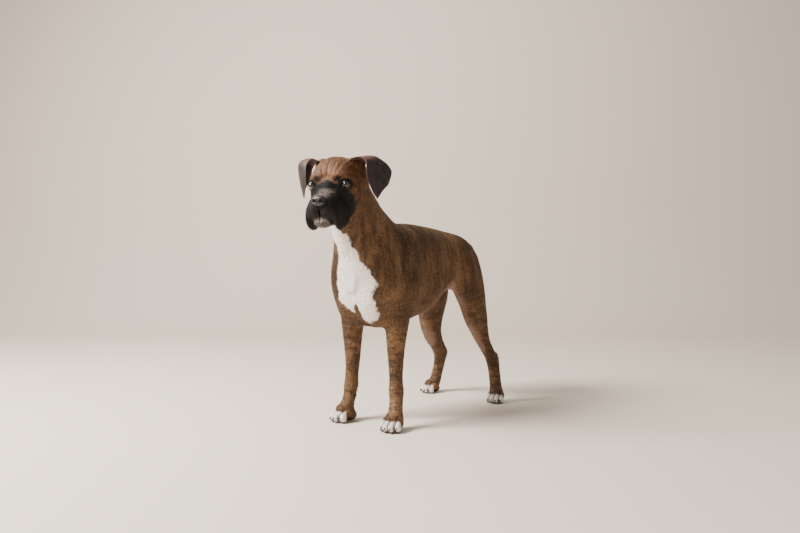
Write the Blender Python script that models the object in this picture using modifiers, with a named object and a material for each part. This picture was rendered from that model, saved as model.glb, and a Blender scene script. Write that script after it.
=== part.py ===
"""A standing Boxer, life size, as closed solids that a person would name: head, nose, eyes, ears, neck, trunk,
legs, paws, claws and docked tail.

The flesh is one field of distances on a grid: tapering tubes along the spine and each limb and balls for the
muscles run into one another over a stated blend, and the zero level of the field is the dog's outline, out to
the tips of its short coat. That outline is thinned to a modest number of facets and thin slabs part it into its
named pieces. Metres, +Z up; the dog faces -Y and its left side is +X.
"""

import math

import bmesh
import bpy
import numpy as np
from mathutils import Matrix, Vector

GAP = 0.0003  # room left between two pieces that meet
FLOOR = 0.0007  # the soles are cut flat at this height
STEP = 0.003  # spacing of the grid
FLESH_TRIANGLES = 4700

# ---------------------------------------------------------------- driving sizes of the dog
WITHERS = 0.573  # height of the back over the shoulders
BRISKET = 0.276  # height of the breastbone between the elbows
HEAD_AT = (0.029, -0.381, 0.656)  # the point midway between the eyes
HEAD_YAW = 21.0  # the head looks this far to its left, in degrees
HEAD_PITCH = 8.0  # and this far down
EYE_RADIUS = 0.0115
EYE_AT = (0.0470, 0.0090, 0.0)  # left eye's centre in the head's axes
BOX = ((-0.20, -0.52, -0.02), (0.20, 0.42, 0.78))  # room the field is worked out in


def clear_scene():
    for obj in list(bpy.data.objects):
        bpy.data.objects.remove(obj, do_unlink=True)


# ---------------------------------------------------------------- the field of distances
def curve_rows(rows, count=240):
    """Rows whose first number is the place along the tube, carried along Hermite curves and read at even
    places: a smooth table for np.interp."""
    r = np.asarray(sorted(rows), float)
    t = r[:, 0]
    slope = np.gradient(r, t, axis=0)
    at = np.linspace(t[0], t[-1], count)
    i = np.clip(np.searchsorted(t, at, side="right") - 1, 0, len(t) - 2)
    h = (t[i + 1] - t[i])[:, None]
    u = ((at - t[i]) / h[:, 0])[:, None]
    return (
        r[i] * (2 * u**3 - 3 * u**2 + 1)
        + slope[i] * h * (u**3 - 2 * u**2 + u)
        + r[i + 1] * (3 * u**2 - 2 * u**3)
        + slope[i + 1] * h * (u**3 - u**2)
    )


class Field:
    """Distances to the dog's outline on an even grid; negative inside."""

    def __init__(self, low, high, step):
        self.step = step
        self.axes = [np.arange(a, b + step, step) for a, b in zip(low, high)]
        self.value = np.ones([len(a) for a in self.axes])

    def window(self, low, high, margin):
        """The part of the grid round a box, as slices and its points."""
        cut = []
        for axis, a, b in zip(self.axes, low, high):
            cut.append(slice(*np.searchsorted(axis, (a - margin, b + margin))))
        grid = np.meshgrid(*(axis[c] for axis, c in zip(self.axes, cut)), indexing="ij")
        return tuple(cut), grid

    def join(self, cut, distance, blend):
        """Adds a shape: the smaller of two distances, eased over the blend where they are nearly equal."""
        old = self.value[cut]
        h = np.clip(0.5 + 0.5 * (old - distance) / blend, 0.0, 1.0)
        self.value[cut] = old * (1 - h) + distance * h - blend * h * (1 - h)

    def carve(self, cut, distance, blend):
        """Takes a shape away, eased over the blend."""
        old = self.value[cut]
        h = np.clip(0.5 - 0.5 * (old + distance) / blend, 0.0, 1.0)
        self.value[cut] = old * (1 - h) - distance * h + blend * h * (1 - h)

    def ball(self, centre, radii, turn=(0.0, 0.0, 0.0), blend=0.012, matrix=None, hollow=False):
        """An ellipsoid turned by Euler angles in degrees, added or, if hollow, taken away."""
        place = Matrix.Translation(centre)
        for angle, axis in zip(turn, "XYZ"):
            place = place @ Matrix.Rotation(math.radians(angle), 4, axis)
        if matrix is not None:
            place = matrix @ place
        middle = np.array(place.translation)
        reach = max(radii)
        cut, grid = self.window(middle - reach, middle + reach, blend + 3 * self.step)
        local = to_local(grid, place)
        scaled = np.sqrt(sum((c / r) ** 2 for c, r in zip(local, radii)))
        steep = np.sqrt(sum((c / r**2) ** 2 for c, r in zip(local, radii))) + 1e-9
        (self.carve if hollow else self.join)(cut, scaled * (scaled - 1.0) / steep, blend)

    def tube(self, rows, axis="Y", square=2.0, blend=0.012, matrix=None, mirror=1):
        """A tapering tube cut square to one axis. A row is: place along the axis, x, middle of the section,
        half width, reach to the + side, reach to the - side. Along Y the + side is up; along Z it is back."""
        table = curve_rows([(r[0], r[1] * mirror, *r[2:]) for r in rows])
        t, x, mid, width, plus, minus = table.T
        spread = max(width.max(), plus.max(), minus.max())
        if axis == "Y":
            corner = [(x.min() - spread, t.min(), mid.min() - spread), (x.max() + spread, t.max(), mid.max() + spread)]
        else:
            corner = [(x.min() - spread, mid.min() - spread, t.min()), (x.max() + spread, mid.max() + spread, t.max())]
        if matrix is not None:
            box = np.array([matrix @ Vector((a[0], b[1], c[2])) for a in corner for b in corner for c in corner])
            corner = [box.min(axis=0), box.max(axis=0)]
        cut, grid = self.window(*corner, blend + 3 * self.step)
        local = to_local(grid, matrix)
        along, off = (local[1], local[2]) if axis == "Y" else (local[2], local[1])
        read = lambda column: np.interp(along, t, column)
        wide = read(width)
        across = np.abs(local[0] - read(x)) / wide
        off = off - read(mid)
        reach = np.where(off > 0, read(plus), read(minus))
        off = np.abs(off) / reach
        norm = (across**square + off**square + 1e-12) ** (1.0 / square)
        level = np.hypot((across / norm) ** (square - 1) / wide, (off / norm) ** (square - 1) / reach)
        steep = np.sqrt(sum(g**2 for g in np.gradient(norm, self.step)))
        distance = (norm - 1.0) / np.clip(steep, 4.0, level * 1.4)
        ends = np.maximum(t[0] - along, along - t[-1])
        self.join(cut, np.maximum(distance, ends), blend)

    def surface(self):
        """The zero level as points and quads: one point in each cell the level passes through, at the mean of
        its crossings, and one quad round each grid edge it crosses."""
        v = self.value
        inside = v < 0
        shape = np.array(v.shape)
        full = inside[:-1, :-1, :-1].astype(np.int8)
        count = sum(
            inside[a : shape[0] - 1 + a, b : shape[1] - 1 + b, c : shape[2] - 1 + c].astype(np.int8)
            for a in (0, 1)
            for b in (0, 1)
            for c in (0, 1)
        )
        cells = np.argwhere((count > 0) & (count < 8))
        index = np.full(full.shape, -1, int)
        index[tuple(cells.T)] = np.arange(len(cells))
        total = np.zeros((len(cells), 3))
        hits = np.zeros(len(cells))
        corners = [np.array((a, b, c)) for a in (0, 1) for b in (0, 1) for c in (0, 1)]
        for a in corners:
            for axis in range(3):
                if a[axis]:
                    continue
                b = a.copy()
                b[axis] = 1
                va = v[tuple((cells + a).T)]
                vb = v[tuple((cells + b).T)]
                crossed = (va < 0) != (vb < 0)
                u = np.where(crossed, va / np.where(crossed, va - vb, 1.0), 0.0)
                total += (a + (b - a) * u[:, None]) * crossed[:, None]
                hits += crossed
        low = np.array([axis[0] for axis in self.axes])
        points = low + self.step * (cells + total / hits[:, None])
        quads = []
        for axis in range(3):
            one, two = (axis + 1) % 3, (axis + 2) % 3
            near = [slice(1, -1)] * 3
            near[axis] = slice(0, -1)
            far = list(near)
            far[axis] = slice(1, None)
            first, second = inside[tuple(near)], inside[tuple(far)]
            edges = np.argwhere(first != second)
            offset = np.array([1 if k != axis else 0 for k in range(3)])
            edges = edges + offset
            leaving = inside[tuple(edges.T)]
            e1 = np.eye(3, dtype=int)[one]
            e2 = np.eye(3, dtype=int)[two]
            ring = [index[tuple((edges - d).T)] for d in (e1 + e2, e2, 0 * e1, e1)]
            quad = np.stack(ring, axis=1)
            quad[~leaving] = quad[~leaving][:, ::-1]
            quads.append(quad)
        return points, np.concatenate(quads)


def to_local(grid, matrix):
    """Grid points in the axes of a matrix."""
    if matrix is None:
        return grid
    back = np.array(matrix.inverted())
    return [back[i, 0] * grid[0] + back[i, 1] * grid[1] + back[i, 2] * grid[2] + back[i, 3] for i in range(3)]


# ---------------------------------------------------------------- the trunk, neck and tail
def add_trunk(field):
    """Breast, rib cage, loin and croup as one tube: the belly rises behind the ribs."""
    top, low = WITHERS, BRISKET
    rows = [  # y, top, bottom, height of the widest point, half width
        (-0.260, 0.425, 0.385, 0.405, 0.010),
        (-0.256, 0.460, 0.350, 0.405, 0.036),
        (-0.245, 0.490, 0.325, 0.405, 0.062),
        (-0.215, 0.525, 0.296, 0.405, 0.088),
        (-0.160, 0.555, low - 0.001, 0.41, 0.098),
        (-0.100, top - 0.004, low, 0.41, 0.100),
        (-0.030, top, low + 0.013, 0.415, 0.103),
        (0.040, top - 0.004, low + 0.031, 0.425, 0.101),
        (0.100, top - 0.009, low + 0.066, 0.44, 0.087),
        (0.160, top - 0.017, low + 0.088, 0.455, 0.073),
        (0.220, top - 0.032, low + 0.100, 0.46, 0.070),
        (0.258, top - 0.052, 0.390, 0.46, 0.058),
        (0.280, top - 0.076, 0.410, 0.46, 0.042),
        (0.292, top - 0.104, 0.435, 0.46, 0.018),
    ]
    field.tube([(y, 0.0, mid, w, high - mid, mid - bottom) for y, high, bottom, mid, w in rows], square=2.2)
    field.ball((0.0, -0.226, 0.420), (0.056, 0.042, 0.070), blend=0.04)  # point of the breastbone
    for side in (1, -1):
        field.ball((side * 0.050, -0.212, 0.468), (0.037, 0.052, 0.074), (-16, 0, 0), blend=0.03)  # foot of the neck
        field.ball((side * 0.042, -0.200, 0.350), (0.042, 0.046, 0.066), (0, 0, side * 12), blend=0.04)  # breast
        field.ball((side * 0.048, 0.188, 0.492), (0.036, 0.060, 0.040), (-14, 0, 0), blend=0.04)  # hip bone
        field.ball((side * 0.036, 0.252, 0.452), (0.036, 0.046, 0.060), (14, 0, 0), blend=0.03)  # seat


def add_neck(field):
    """The neck rises from the shoulders to the nape and swings a little to the left with the head."""
    base = Vector((0.0, -0.2034, 0.534))
    lean = math.atan2(0.62, 0.785)
    place = Matrix.Translation(base) @ Matrix.Rotation(lean, 4, "X")
    rows = [  # along the neck, x, middle, half width, to the crest, to the throat
        (-0.130, 0.000, -0.004, 0.090, 0.098, 0.104),
        (-0.060, 0.000, 0.000, 0.088, 0.100, 0.114),
        (0.000, 0.000, 0.000, 0.077, 0.090, 0.104),
        (0.048, 0.001, -0.003, 0.069, 0.080, 0.088),
        (0.080, 0.003, 0.000, 0.065, 0.073, 0.080),
        (0.120, 0.006, 0.004, 0.060, 0.062, 0.072),
        (0.150, 0.008, 0.008, 0.052, 0.046, 0.060),
    ]
    field.tube(rows, axis="Z", square=2.1, blend=0.03, matrix=place)


def add_tail(field):
    """A docked stub that carries on the line of the croup."""
    rows = [
        (0.262, 0.0, 0.505, 0.019, 0.017, 0.018),
        (0.290, 0.0, 0.497, 0.0165, 0.015, 0.017),
        (0.315, 0.0, 0.482, 0.0140, 0.013, 0.015),
        (0.330, 0.0, 0.470, 0.0100, 0.009, 0.010),
    ]
    field.tube(rows, blend=0.016)


# ---------------------------------------------------------------- the legs
FORE = [  # height, x, y, half width, reach back, reach forward
    (0.400, 0.078, -0.160, 0.036, 0.056, 0.060),
    (0.340, 0.080, -0.160, 0.034, 0.046, 0.052),
    (0.300, 0.081, -0.160, 0.032, 0.037, 0.043),
    (0.260, 0.081, -0.163, 0.0280, 0.031, 0.035),
    (0.217, 0.080, -0.165, 0.0238, 0.0275, 0.0280),
    (0.175, 0.080, -0.165, 0.0205, 0.0230, 0.0240),
    (0.130, 0.082, -0.167, 0.0190, 0.0205, 0.0210),
    (0.105, 0.083, -0.168, 0.0210, 0.0215, 0.0225),
    (0.080, 0.085, -0.171, 0.0195, 0.0205, 0.0200),
    (0.055, 0.088, -0.177, 0.0205, 0.0205, 0.0210),
    (0.030, 0.091, -0.181, 0.0230, 0.0200, 0.0240),
]
HIND_LEFT = [  # height, x, y, half width, reach back, reach forward
    (0.495, 0.050, 0.200, 0.024, 0.036, 0.040),
    (0.475, 0.056, 0.203, 0.035, 0.056, 0.058),
    (0.440, 0.066, 0.203, 0.042, 0.070, 0.072),
    (0.400, 0.073, 0.205, 0.043, 0.074, 0.074),
    (0.360, 0.080, 0.212, 0.040, 0.068, 0.068),
    (0.320, 0.086, 0.222, 0.036, 0.056, 0.057),
    (0.270, 0.092, 0.234, 0.032, 0.047, 0.048),
    (0.207, 0.099, 0.260, 0.0225, 0.031, 0.032),
    (0.175, 0.102, 0.282, 0.0205, 0.030, 0.028),
    (0.147, 0.106, 0.303, 0.0195, 0.0265, 0.027),
    (0.125, 0.109, 0.309, 0.0192, 0.026, 0.024),
    (0.100, 0.112, 0.311, 0.0185, 0.0235, 0.0215),
    (0.070, 0.116, 0.311, 0.0190, 0.0225, 0.0215),
    (0.045, 0.119, 0.312, 0.0205, 0.0220, 0.0220),
    (0.028, 0.122, 0.312, 0.0215, 0.0210, 0.0225),
]
HIND_RIGHT = [
    (0.495, 0.050, 0.200, 0.024, 0.036, 0.040),
    (0.475, 0.056, 0.203, 0.035, 0.056, 0.058),
    (0.440, 0.066, 0.205, 0.042, 0.070, 0.072),
    (0.400, 0.072, 0.210, 0.043, 0.076, 0.076),
    (0.360, 0.077, 0.222, 0.044, 0.078, 0.072),
    (0.336, 0.080, 0.228, 0.042, 0.074, 0.066),
    (0.304, 0.086, 0.238, 0.037, 0.062, 0.058),
    (0.266, 0.093, 0.244, 0.033, 0.051, 0.052),
    (0.224, 0.098, 0.255, 0.0275, 0.042, 0.043),
    (0.187, 0.104, 0.281, 0.0230, 0.038, 0.038),
    (0.160, 0.108, 0.310, 0.0205, 0.034, 0.034),
    (0.140, 0.112, 0.326, 0.0200, 0.030, 0.030),
    (0.115, 0.117, 0.331, 0.0188, 0.025, 0.025),
    (0.080, 0.126, 0.332, 0.0185, 0.0220, 0.0220),
    (0.050, 0.133, 0.329, 0.0200, 0.0220, 0.0220),
    (0.028, 0.138, 0.325, 0.0215, 0.0210, 0.0225),
]
PAWS = {  # x, y of the paw's middle, size, outward turn in degrees
    "forepaw_left": (0.092, -0.192, 0.95, 14),
    "forepaw_right": (-0.088, -0.190, 0.98, -14),
    "hindpaw_left": (0.123, 0.307, 0.86, 14),
    "hindpaw_right": (-0.140, 0.312, 0.88, -12),
}
TOES = [(-0.0245, 0.0075), (-0.0088, -0.0035), (0.0088, -0.0035), (0.0245, 0.0075)]  # across, ahead of the paw


def add_foreleg(field, side):
    """Shoulder blade, upper arm, forearm, wrist and pastern of one foreleg; side is 1 left, -1 right."""
    field.tube(FORE, axis="Z", square=2.1, blend=0.022, mirror=side)
    field.ball((side * 0.062, -0.115, 0.470), (0.034, 0.050, 0.085), (-24, 0, 0), blend=0.03)  # shoulder blade
    field.ball((side * 0.070, -0.196, 0.400), (0.040, 0.046, 0.072), (18, 0, 0), blend=0.03)  # point of the shoulder
    field.ball((side * 0.076, -0.120, 0.390), (0.037, 0.056, 0.074), (-20, 0, 0), blend=0.03)  # triceps
    field.ball((side * 0.079, -0.120, 0.322), (0.020, 0.021, 0.025), blend=0.014)  # elbow
    field.ball((side * 0.086, -0.150, 0.094), (0.0085, 0.0095, 0.0095), blend=0.006)  # carpal pad


def add_hindleg(field, side):
    """Thigh, second thigh, hock and rear pastern of one hind leg."""
    rows = HIND_LEFT if side > 0 else HIND_RIGHT
    field.tube(rows, axis="Z", square=2.1, blend=0.026, mirror=side)
    tip = (side * 0.108, 0.320, 0.141) if side > 0 else (side * 0.113, 0.350, 0.141)
    field.ball(tip, (0.0105, 0.0115, 0.020), (-16, 0, 0), blend=0.014)  # point of the hock


def add_paw(field, name):
    """Four arched toes over their pads, on the floor."""
    x, y, size, turn = PAWS[name]
    place = Matrix.Translation((x, y, 0.0)) @ Matrix.Rotation(math.radians(turn), 4, "Z")
    scaled = lambda *values: tuple(v * size for v in values)
    field.ball(scaled(0.0, 0.016, 0.018), scaled(0.025, 0.022, 0.017), blend=0.010, matrix=place)  # heel pad
    field.ball(scaled(0.0, -0.002, 0.034), scaled(0.025, 0.028, 0.018), (-18, 0, 0), blend=0.012, matrix=place)
    for across, ahead in TOES:
        knuckle = scaled(across * 0.93, -0.013 + ahead, 0.0275)
        tip = scaled(across, -0.030 + ahead, 0.0155)
        field.ball(knuckle, scaled(0.0096, 0.018, 0.0120), (24, 0, -across * 300), blend=0.006, matrix=place)
        field.ball(tip, scaled(0.0098, 0.0125, 0.0155), blend=0.006, matrix=place)


# ---------------------------------------------------------------- the head
def head_matrix():
    turn = Matrix.Rotation(math.radians(HEAD_YAW), 4, "Z") @ Matrix.Rotation(math.radians(HEAD_PITCH), 4, "X")
    return Matrix.Translation(HEAD_AT) @ turn


def add_head(field):
    """Skull, brows, cheeks, muzzle, hanging lips and the under-shot chin, in the head's own axes: x left,
    y back, z up, from the point midway between the eyes."""
    m = head_matrix()
    skull = [  # y, x, middle, half width, up, down
        (-0.006, 0.0, 0.004, 0.028, 0.026, 0.030),
        (0.000, 0.0, 0.004, 0.042, 0.040, 0.045),
        (0.012, 0.0, 0.004, 0.0515, 0.054, 0.055),
        (0.035, 0.0, 0.004, 0.0580, 0.065, 0.062),
        (0.060, 0.0, 0.004, 0.0610, 0.070, 0.066),
        (0.090, 0.0, 0.004, 0.0600, 0.066, 0.066),
        (0.118, 0.0, 0.004, 0.0490, 0.053, 0.056),
        (0.138, 0.0, 0.004, 0.0270, 0.033, 0.036),
    ]
    field.tube(skull, square=2.25, blend=0.03, matrix=m)
    muzzle = [
        (-0.066, 0.0, -0.052, 0.019, 0.018, 0.018),
        (-0.061, 0.0, -0.052, 0.029, 0.028, 0.028),
        (-0.049, 0.0, -0.051, 0.0350, 0.033, 0.037),
        (-0.030, 0.0, -0.050, 0.0380, 0.036, 0.042),
        (-0.010, 0.0, -0.047, 0.0405, 0.037, 0.046),
        (0.010, 0.0, -0.044, 0.0450, 0.038, 0.050),
        (0.030, 0.0, -0.042, 0.0480, 0.040, 0.052),
    ]
    field.tube(muzzle, square=2.4, blend=0.012, matrix=m)
    field.ball((0.0, -0.048, -0.0905), (0.025, 0.0190, 0.0150), (-12, 0, 0), blend=0.009, matrix=m)  # chin
    field.ball((0.0, -0.004, -0.086), (0.032, 0.048, 0.018), (8, 0, 0), blend=0.012, matrix=m)  # under jaw
    field.ball((0.0, 0.000, 0.000), (0.018, 0.012, 0.016), blend=0.014, matrix=m)  # stop
    for side in (1, -1):
        field.ball((side * 0.0485, 0.066, -0.024), (0.0205, 0.050, 0.044), blend=0.020, matrix=m)  # cheek
        field.ball((side * 0.038, 0.072, -0.062), (0.022, 0.040, 0.027), blend=0.020, matrix=m)  # corner of the jaw
        field.ball((side * 0.046, 0.080, 0.054), (0.016, 0.028, 0.016), (0, side * 40, 0), blend=0.014, matrix=m)  # ear root
        field.ball((side * 0.029, 0.005, 0.026), (0.020, 0.014, 0.012), (0, side * 14, 0), blend=0.012, matrix=m)  # brow
        field.ball((side * 0.047, 0.014, 0.002), (0.0125, 0.0135, 0.018), blend=0.012, matrix=m)  # orbit
        field.ball((side * 0.0345, -0.024, -0.078), (0.0125, 0.036, 0.036), (14, 0, side * 8), blend=0.011, matrix=m)  # flew
        field.ball((side * 0.0370, 0.006, -0.078), (0.0130, 0.034, 0.0300), blend=0.010, matrix=m)  # back of the flew
        field.ball((side * 0.055, 0.092, 0.016), (0.020, 0.030, 0.044), blend=0.014, matrix=m)  # behind the ear
        field.ball((side * 0.0205, -0.0495, -0.061), (0.0195, 0.0175, 0.0220), blend=0.010, matrix=m)  # front lip
    for side in (1, -1):
        eye = (side * EYE_AT[0], EYE_AT[1] - 0.0125, EYE_AT[2])
        field.ball(eye, (0.0115, 0.0090, 0.0070), (0, 0, side * 14), blend=0.004, matrix=m, hollow=True)  # eye opening


def flesh_field(step):
    field = Field(*BOX, step)
    add_trunk(field)
    add_neck(field)
    add_tail(field)
    for side in (1, -1):
        add_foreleg(field, side)
        add_hindleg(field, side)
    for name in PAWS:
        add_paw(field, name)
    add_head(field)
    return field


# ---------------------------------------------------------------- ears, nose, eyes and claws
EAR_LEFT = [  # head's axes: front edge, middle and back edge, from the root to the tip
    [(0.034, 0.050, 0.056), (0.038, 0.080, 0.052), (0.038, 0.104, 0.038)],
    [(0.062, 0.042, 0.069), (0.076, 0.080, 0.068), (0.080, 0.112, 0.050)],
    [(0.090, 0.036, 0.060), (0.114, 0.078, 0.062), (0.134, 0.112, 0.036)],
    [(0.096, 0.026, 0.026), (0.118, 0.060, 0.024), (0.136, 0.092, 0.000)],
    [(0.100, 0.027, -0.022), (0.117, 0.042, -0.040), (0.129, 0.062, -0.024)],
]
EAR_RIGHT = [
    [(-0.034, 0.050, 0.056), (-0.038, 0.080, 0.052), (-0.038, 0.104, 0.038)],
    [(-0.056, 0.038, 0.069), (-0.076, 0.072, 0.069), (-0.074, 0.108, 0.053)],
    [(-0.067, 0.022, 0.054), (-0.104, 0.062, 0.060), (-0.088, 0.110, 0.044)],
    [(-0.066, 0.012, 0.018), (-0.102, 0.050, 0.024), (-0.090, 0.094, 0.014)],
    [(-0.070, 0.018, -0.022), (-0.084, 0.032, -0.036), (-0.088, 0.046, -0.018)],
]
EAR_THICK = 0.0045
NOSE_AT = (0.0, -0.0620, -0.0360)
NOSE_SIZE = (0.0185, 0.0135, 0.0140)
CLAW_LENGTH = 0.013
CLAW_RADIUS = 0.0034


def spline_grid(net, rows, columns):
    """A net of control points carried to a finer grid by Hermite curves, first down the rows, then across."""
    net = np.asarray(net, float)
    for count in (rows, columns):
        knots = np.linspace(0.0, 1.0, len(net))
        slope = np.gradient(net, knots, axis=0)
        t = np.linspace(0.0, 1.0, count)
        i = np.clip((t * (len(net) - 1)).astype(int), 0, len(net) - 2)
        h = 1.0 / (len(net) - 1)
        u = ((t - knots[i]) / h)[:, None, None]
        net = (
            net[i] * (2 * u**3 - 3 * u**2 + 1)
            + slope[i] * h * (u**3 - 2 * u**2 + u)
            + net[i + 1] * (3 * u**2 - 2 * u**3)
            + slope[i + 1] * h * (u**3 - u**2)
        )
        net = net.transpose(1, 0, 2)
    return net


def ear_mesh(net):
    """A flap: an open sheet on the net, its edges rounded in towards the tip, then given its thickness."""
    rows, columns = 12, 7
    sheet = spline_grid(net, rows, columns)
    u = np.linspace(0.0, 1.0, rows)
    spine = sheet[:, columns // 2][:, None, :]
    narrow = np.sqrt(np.clip(1.0 - np.clip((u - 0.78) / 0.235, 0.0, 1.0) ** 2, 0.0, 1.0))
    sheet = spine + (sheet - spine) * narrow[:, None, None]
    first = (np.arange(rows - 1)[:, None] * columns + np.arange(columns - 1)[None, :]).reshape(-1)
    faces = np.stack([first, first + 1, first + columns + 1, first + columns], axis=1)
    obj = object_from("ear", sheet.reshape(-1, 3).tolist(), faces.tolist(), closed=False)
    thickness = obj.modifiers.new("Thickness", "SOLIDIFY")
    thickness.thickness = EAR_THICK
    thickness.offset = 0.0
    mesh = baked(obj)
    bpy.data.objects.remove(obj)
    mesh.transform(head_matrix())
    return mesh


def ball_mesh(radii, place, square=2.0):
    """An ellipsoid, or a rounder box where square is over 2."""
    bm = bmesh.new()
    bmesh.ops.create_uvsphere(bm, u_segments=14, v_segments=9, radius=1.0)
    for v in bm.verts:
        size = sum(abs(c) ** square for c in v.co) ** (1.0 / square)
        v.co = Vector([c * r / size for c, r in zip(v.co, radii)])
    return finished(bm, place)


def claw_mesh(place):
    """A blunt cone, a little flat from side to side, its root sunk in the toe."""
    bm = bmesh.new()
    bmesh.ops.create_cone(
        bm, cap_ends=True, segments=7, radius1=CLAW_RADIUS, radius2=CLAW_RADIUS * 0.3, depth=CLAW_LENGTH
    )
    turn = Matrix.Translation((0, -CLAW_LENGTH / 2, 0)) @ Matrix.Rotation(math.radians(90), 4, "X")
    return finished(bm, place @ turn @ Matrix.Diagonal((0.8, 1.0, 1.0, 1.0)))


def finished(bm, place):
    bmesh.ops.transform(bm, matrix=place, verts=bm.verts)
    mesh = bpy.data.meshes.new("piece")
    bm.to_mesh(mesh)
    bm.free()
    return mesh


def swollen(mesh, by):
    """The mesh's points and faces, moved out along its normals: the room a sunk piece needs."""
    bm = bmesh.new()
    bm.from_mesh(mesh)
    bmesh.ops.recalc_face_normals(bm, faces=bm.faces)
    bm.normal_update()
    points = [v.co + v.normal * by for v in bm.verts]
    faces = [[v.index for v in f.verts] for f in bm.faces]
    bm.free()
    return points, faces


def claw_places():
    """Where each claw grows: one ahead of each toe and a dewclaw inside each wrist."""
    places = {}
    for paw, (x, y, size, turn) in PAWS.items():
        stand = Matrix.Translation((x, y, 0.0)) @ Matrix.Rotation(math.radians(turn), 4, "Z")
        for number, (across, ahead) in enumerate(TOES, 1):
            root = Vector((across * size, (-0.0350 + ahead) * size, 0.0170 * size))
            tilt = Matrix.Rotation(math.radians(26), 4, "X") @ Matrix.Rotation(-across * 6, 4, "Z")
            places[f"claw_{paw[:4]}_{paw.split('_')[1]}_{number}"] = stand @ Matrix.Translation(root) @ tilt
    for side, word in ((1, "left"), (-1, "right")):
        root = Matrix.Translation((side * 0.0665, -0.166, 0.075))
        places[f"dewclaw_{word}"] = root @ Matrix.Rotation(math.radians(62), 4, "X")
    return places


# ---------------------------------------------------------------- parting the body
def slab(corners):
    """A plate GAP thick from four corners, square to it."""
    a, b, c, d = (Vector(p) for p in corners)
    half = (b - a).cross(d - a).normalized() * (GAP / 2)
    points = [p + half for p in (a, b, c, d)] + [p - half for p in (a, b, c, d)]
    faces = [(0, 1, 2, 3), (7, 6, 5, 4), (0, 4, 5, 1), (1, 5, 6, 2), (2, 6, 7, 3), (3, 7, 4, 0)]
    return points, faces


def plane_slab(point, normal, right, half_right, half_up):
    """A plate through a point, square to a normal, reaching half_right and half_up from it."""
    normal = Vector(normal).normalized()
    right = (Vector(right) - normal * normal.dot(Vector(right))).normalized()
    up = normal.cross(right)
    p = Vector(point)
    return slab([p + right * (s * half_right) + up * (t * half_up) for s, t in ((-1, -1), (1, -1), (1, 1), (-1, 1))])


def parting_slabs():
    """The thin cuts: head, neck, tail, thighs, lower legs and paws."""
    m = head_matrix()
    turn = m.to_3x3()
    slabs = [
        plane_slab(m @ Vector((0, 0.110, -0.040)), turn @ Vector((0, -0.8, 0.6)), turn @ Vector((1, 0, 0)), 0.11, 0.14),
        plane_slab((0, -0.1755, 0.499), (0, -0.62, 0.785), (1, 0, 0), 0.15, 0.17),
        plane_slab((0, 0.3135, 0.480), (0, 0.97, -0.25), (1, 0, 0), 0.032, 0.040),
    ]
    for side in (1, -1):
        x = side * 0.082
        slabs.append(plane_slab((x, -0.165, 0.262), (0, 0, 1), (1, 0, 0), 0.06, 0.07))
        slabs.append(plane_slab((x, -0.175, 0.060), (0, 0, 1), (1, 0, 0), 0.045, 0.05))
        slabs.append(plane_slab((side * 0.094, 0.240, 0.258), (0, 0, 1), (1, 0, 0), 0.06, 0.10))
        slabs.append(plane_slab((side * 0.125, 0.320, 0.048), (0, 0, 1), (1, 0, 0), 0.045, 0.05))
        height = lambda across, y: 0.345 + 1.5 * (across - 0.03) + 1.2 * (y - 0.21)
        spots = ((0.0004, 0.10), (0.17, 0.10), (0.17, 0.36), (0.0004, 0.36))
        slabs.append(slab([(side * across, y, height(across, y)) for across, y in spots]))
    return slabs


SEEDS = {
    "neck": (0.0, -0.235, 0.570),
    "trunk": (0.0, 0.02, 0.440),
    "tail": (0.0, 0.325, 0.475),
    "foreleg_left": (0.081, -0.165, 0.160),
    "foreleg_right": (-0.081, -0.165, 0.160),
    "thigh_left": (0.080, 0.230, 0.350),
    "thigh_right": (-0.080, 0.235, 0.350),
    "hindleg_left": (0.104, 0.285, 0.150),
    "hindleg_right": (-0.112, 0.305, 0.150),
}


def islands(mesh):
    """The loose pieces of a mesh, each as points and faces."""
    bm = bmesh.new()
    bm.from_mesh(mesh)
    bm.verts.ensure_lookup_table()
    seen, found = set(), []
    for start in bm.verts:
        if start.index in seen:
            continue
        heap, group = [start], []
        seen.add(start.index)
        while heap:
            v = heap.pop()
            group.append(v)
            for edge in v.link_edges:
                other = edge.other_vert(v)
                if other.index not in seen:
                    seen.add(other.index)
                    heap.append(other)
        number = {v.index: i for i, v in enumerate(group)}
        faces = {f.index: f for v in group for f in v.link_faces}.values()
        found.append(([tuple(v.co) for v in group], [[number[v.index] for v in f.verts] for f in faces]))
    bm.free()
    return found


def object_from(name, points, faces, closed=True):
    mesh = bpy.data.meshes.new(name)
    mesh.from_pydata([tuple(p) for p in points], [], faces)
    if closed:
        bm = bmesh.new()
        bm.from_mesh(mesh)
        bmesh.ops.recalc_face_normals(bm, faces=bm.faces)
        bmesh.ops.triangulate(bm, faces=[f for f in bm.faces if len(f.verts) > 4])
        bm.to_mesh(mesh)
        bm.free()
    obj = bpy.data.objects.new(name, mesh)
    bpy.context.scene.collection.objects.link(obj)
    return obj


def baked(obj):
    """The object's mesh with its modifiers worked in."""
    bpy.context.view_layer.update()
    seen = obj.evaluated_get(bpy.context.evaluated_depsgraph_get())
    return bpy.data.meshes.new_from_object(seen)


def cut_away(obj, solids):
    """The object's mesh less the solids."""
    cutter = object_from("cutter", *merge(solids))
    modifier = obj.modifiers.new("Cut", "BOOLEAN")
    modifier.operation = "DIFFERENCE"
    modifier.solver = "EXACT"
    modifier.object = cutter
    mesh = baked(obj)
    obj.modifiers.remove(modifier)
    obj.data = mesh
    bpy.data.objects.remove(cutter)


def merge(solids):
    points, faces = [], []
    for p, f in solids:
        start = len(points)
        points += [tuple(v) for v in p]
        faces += [[i + start for i in face] for face in f]
    return points, faces


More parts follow.
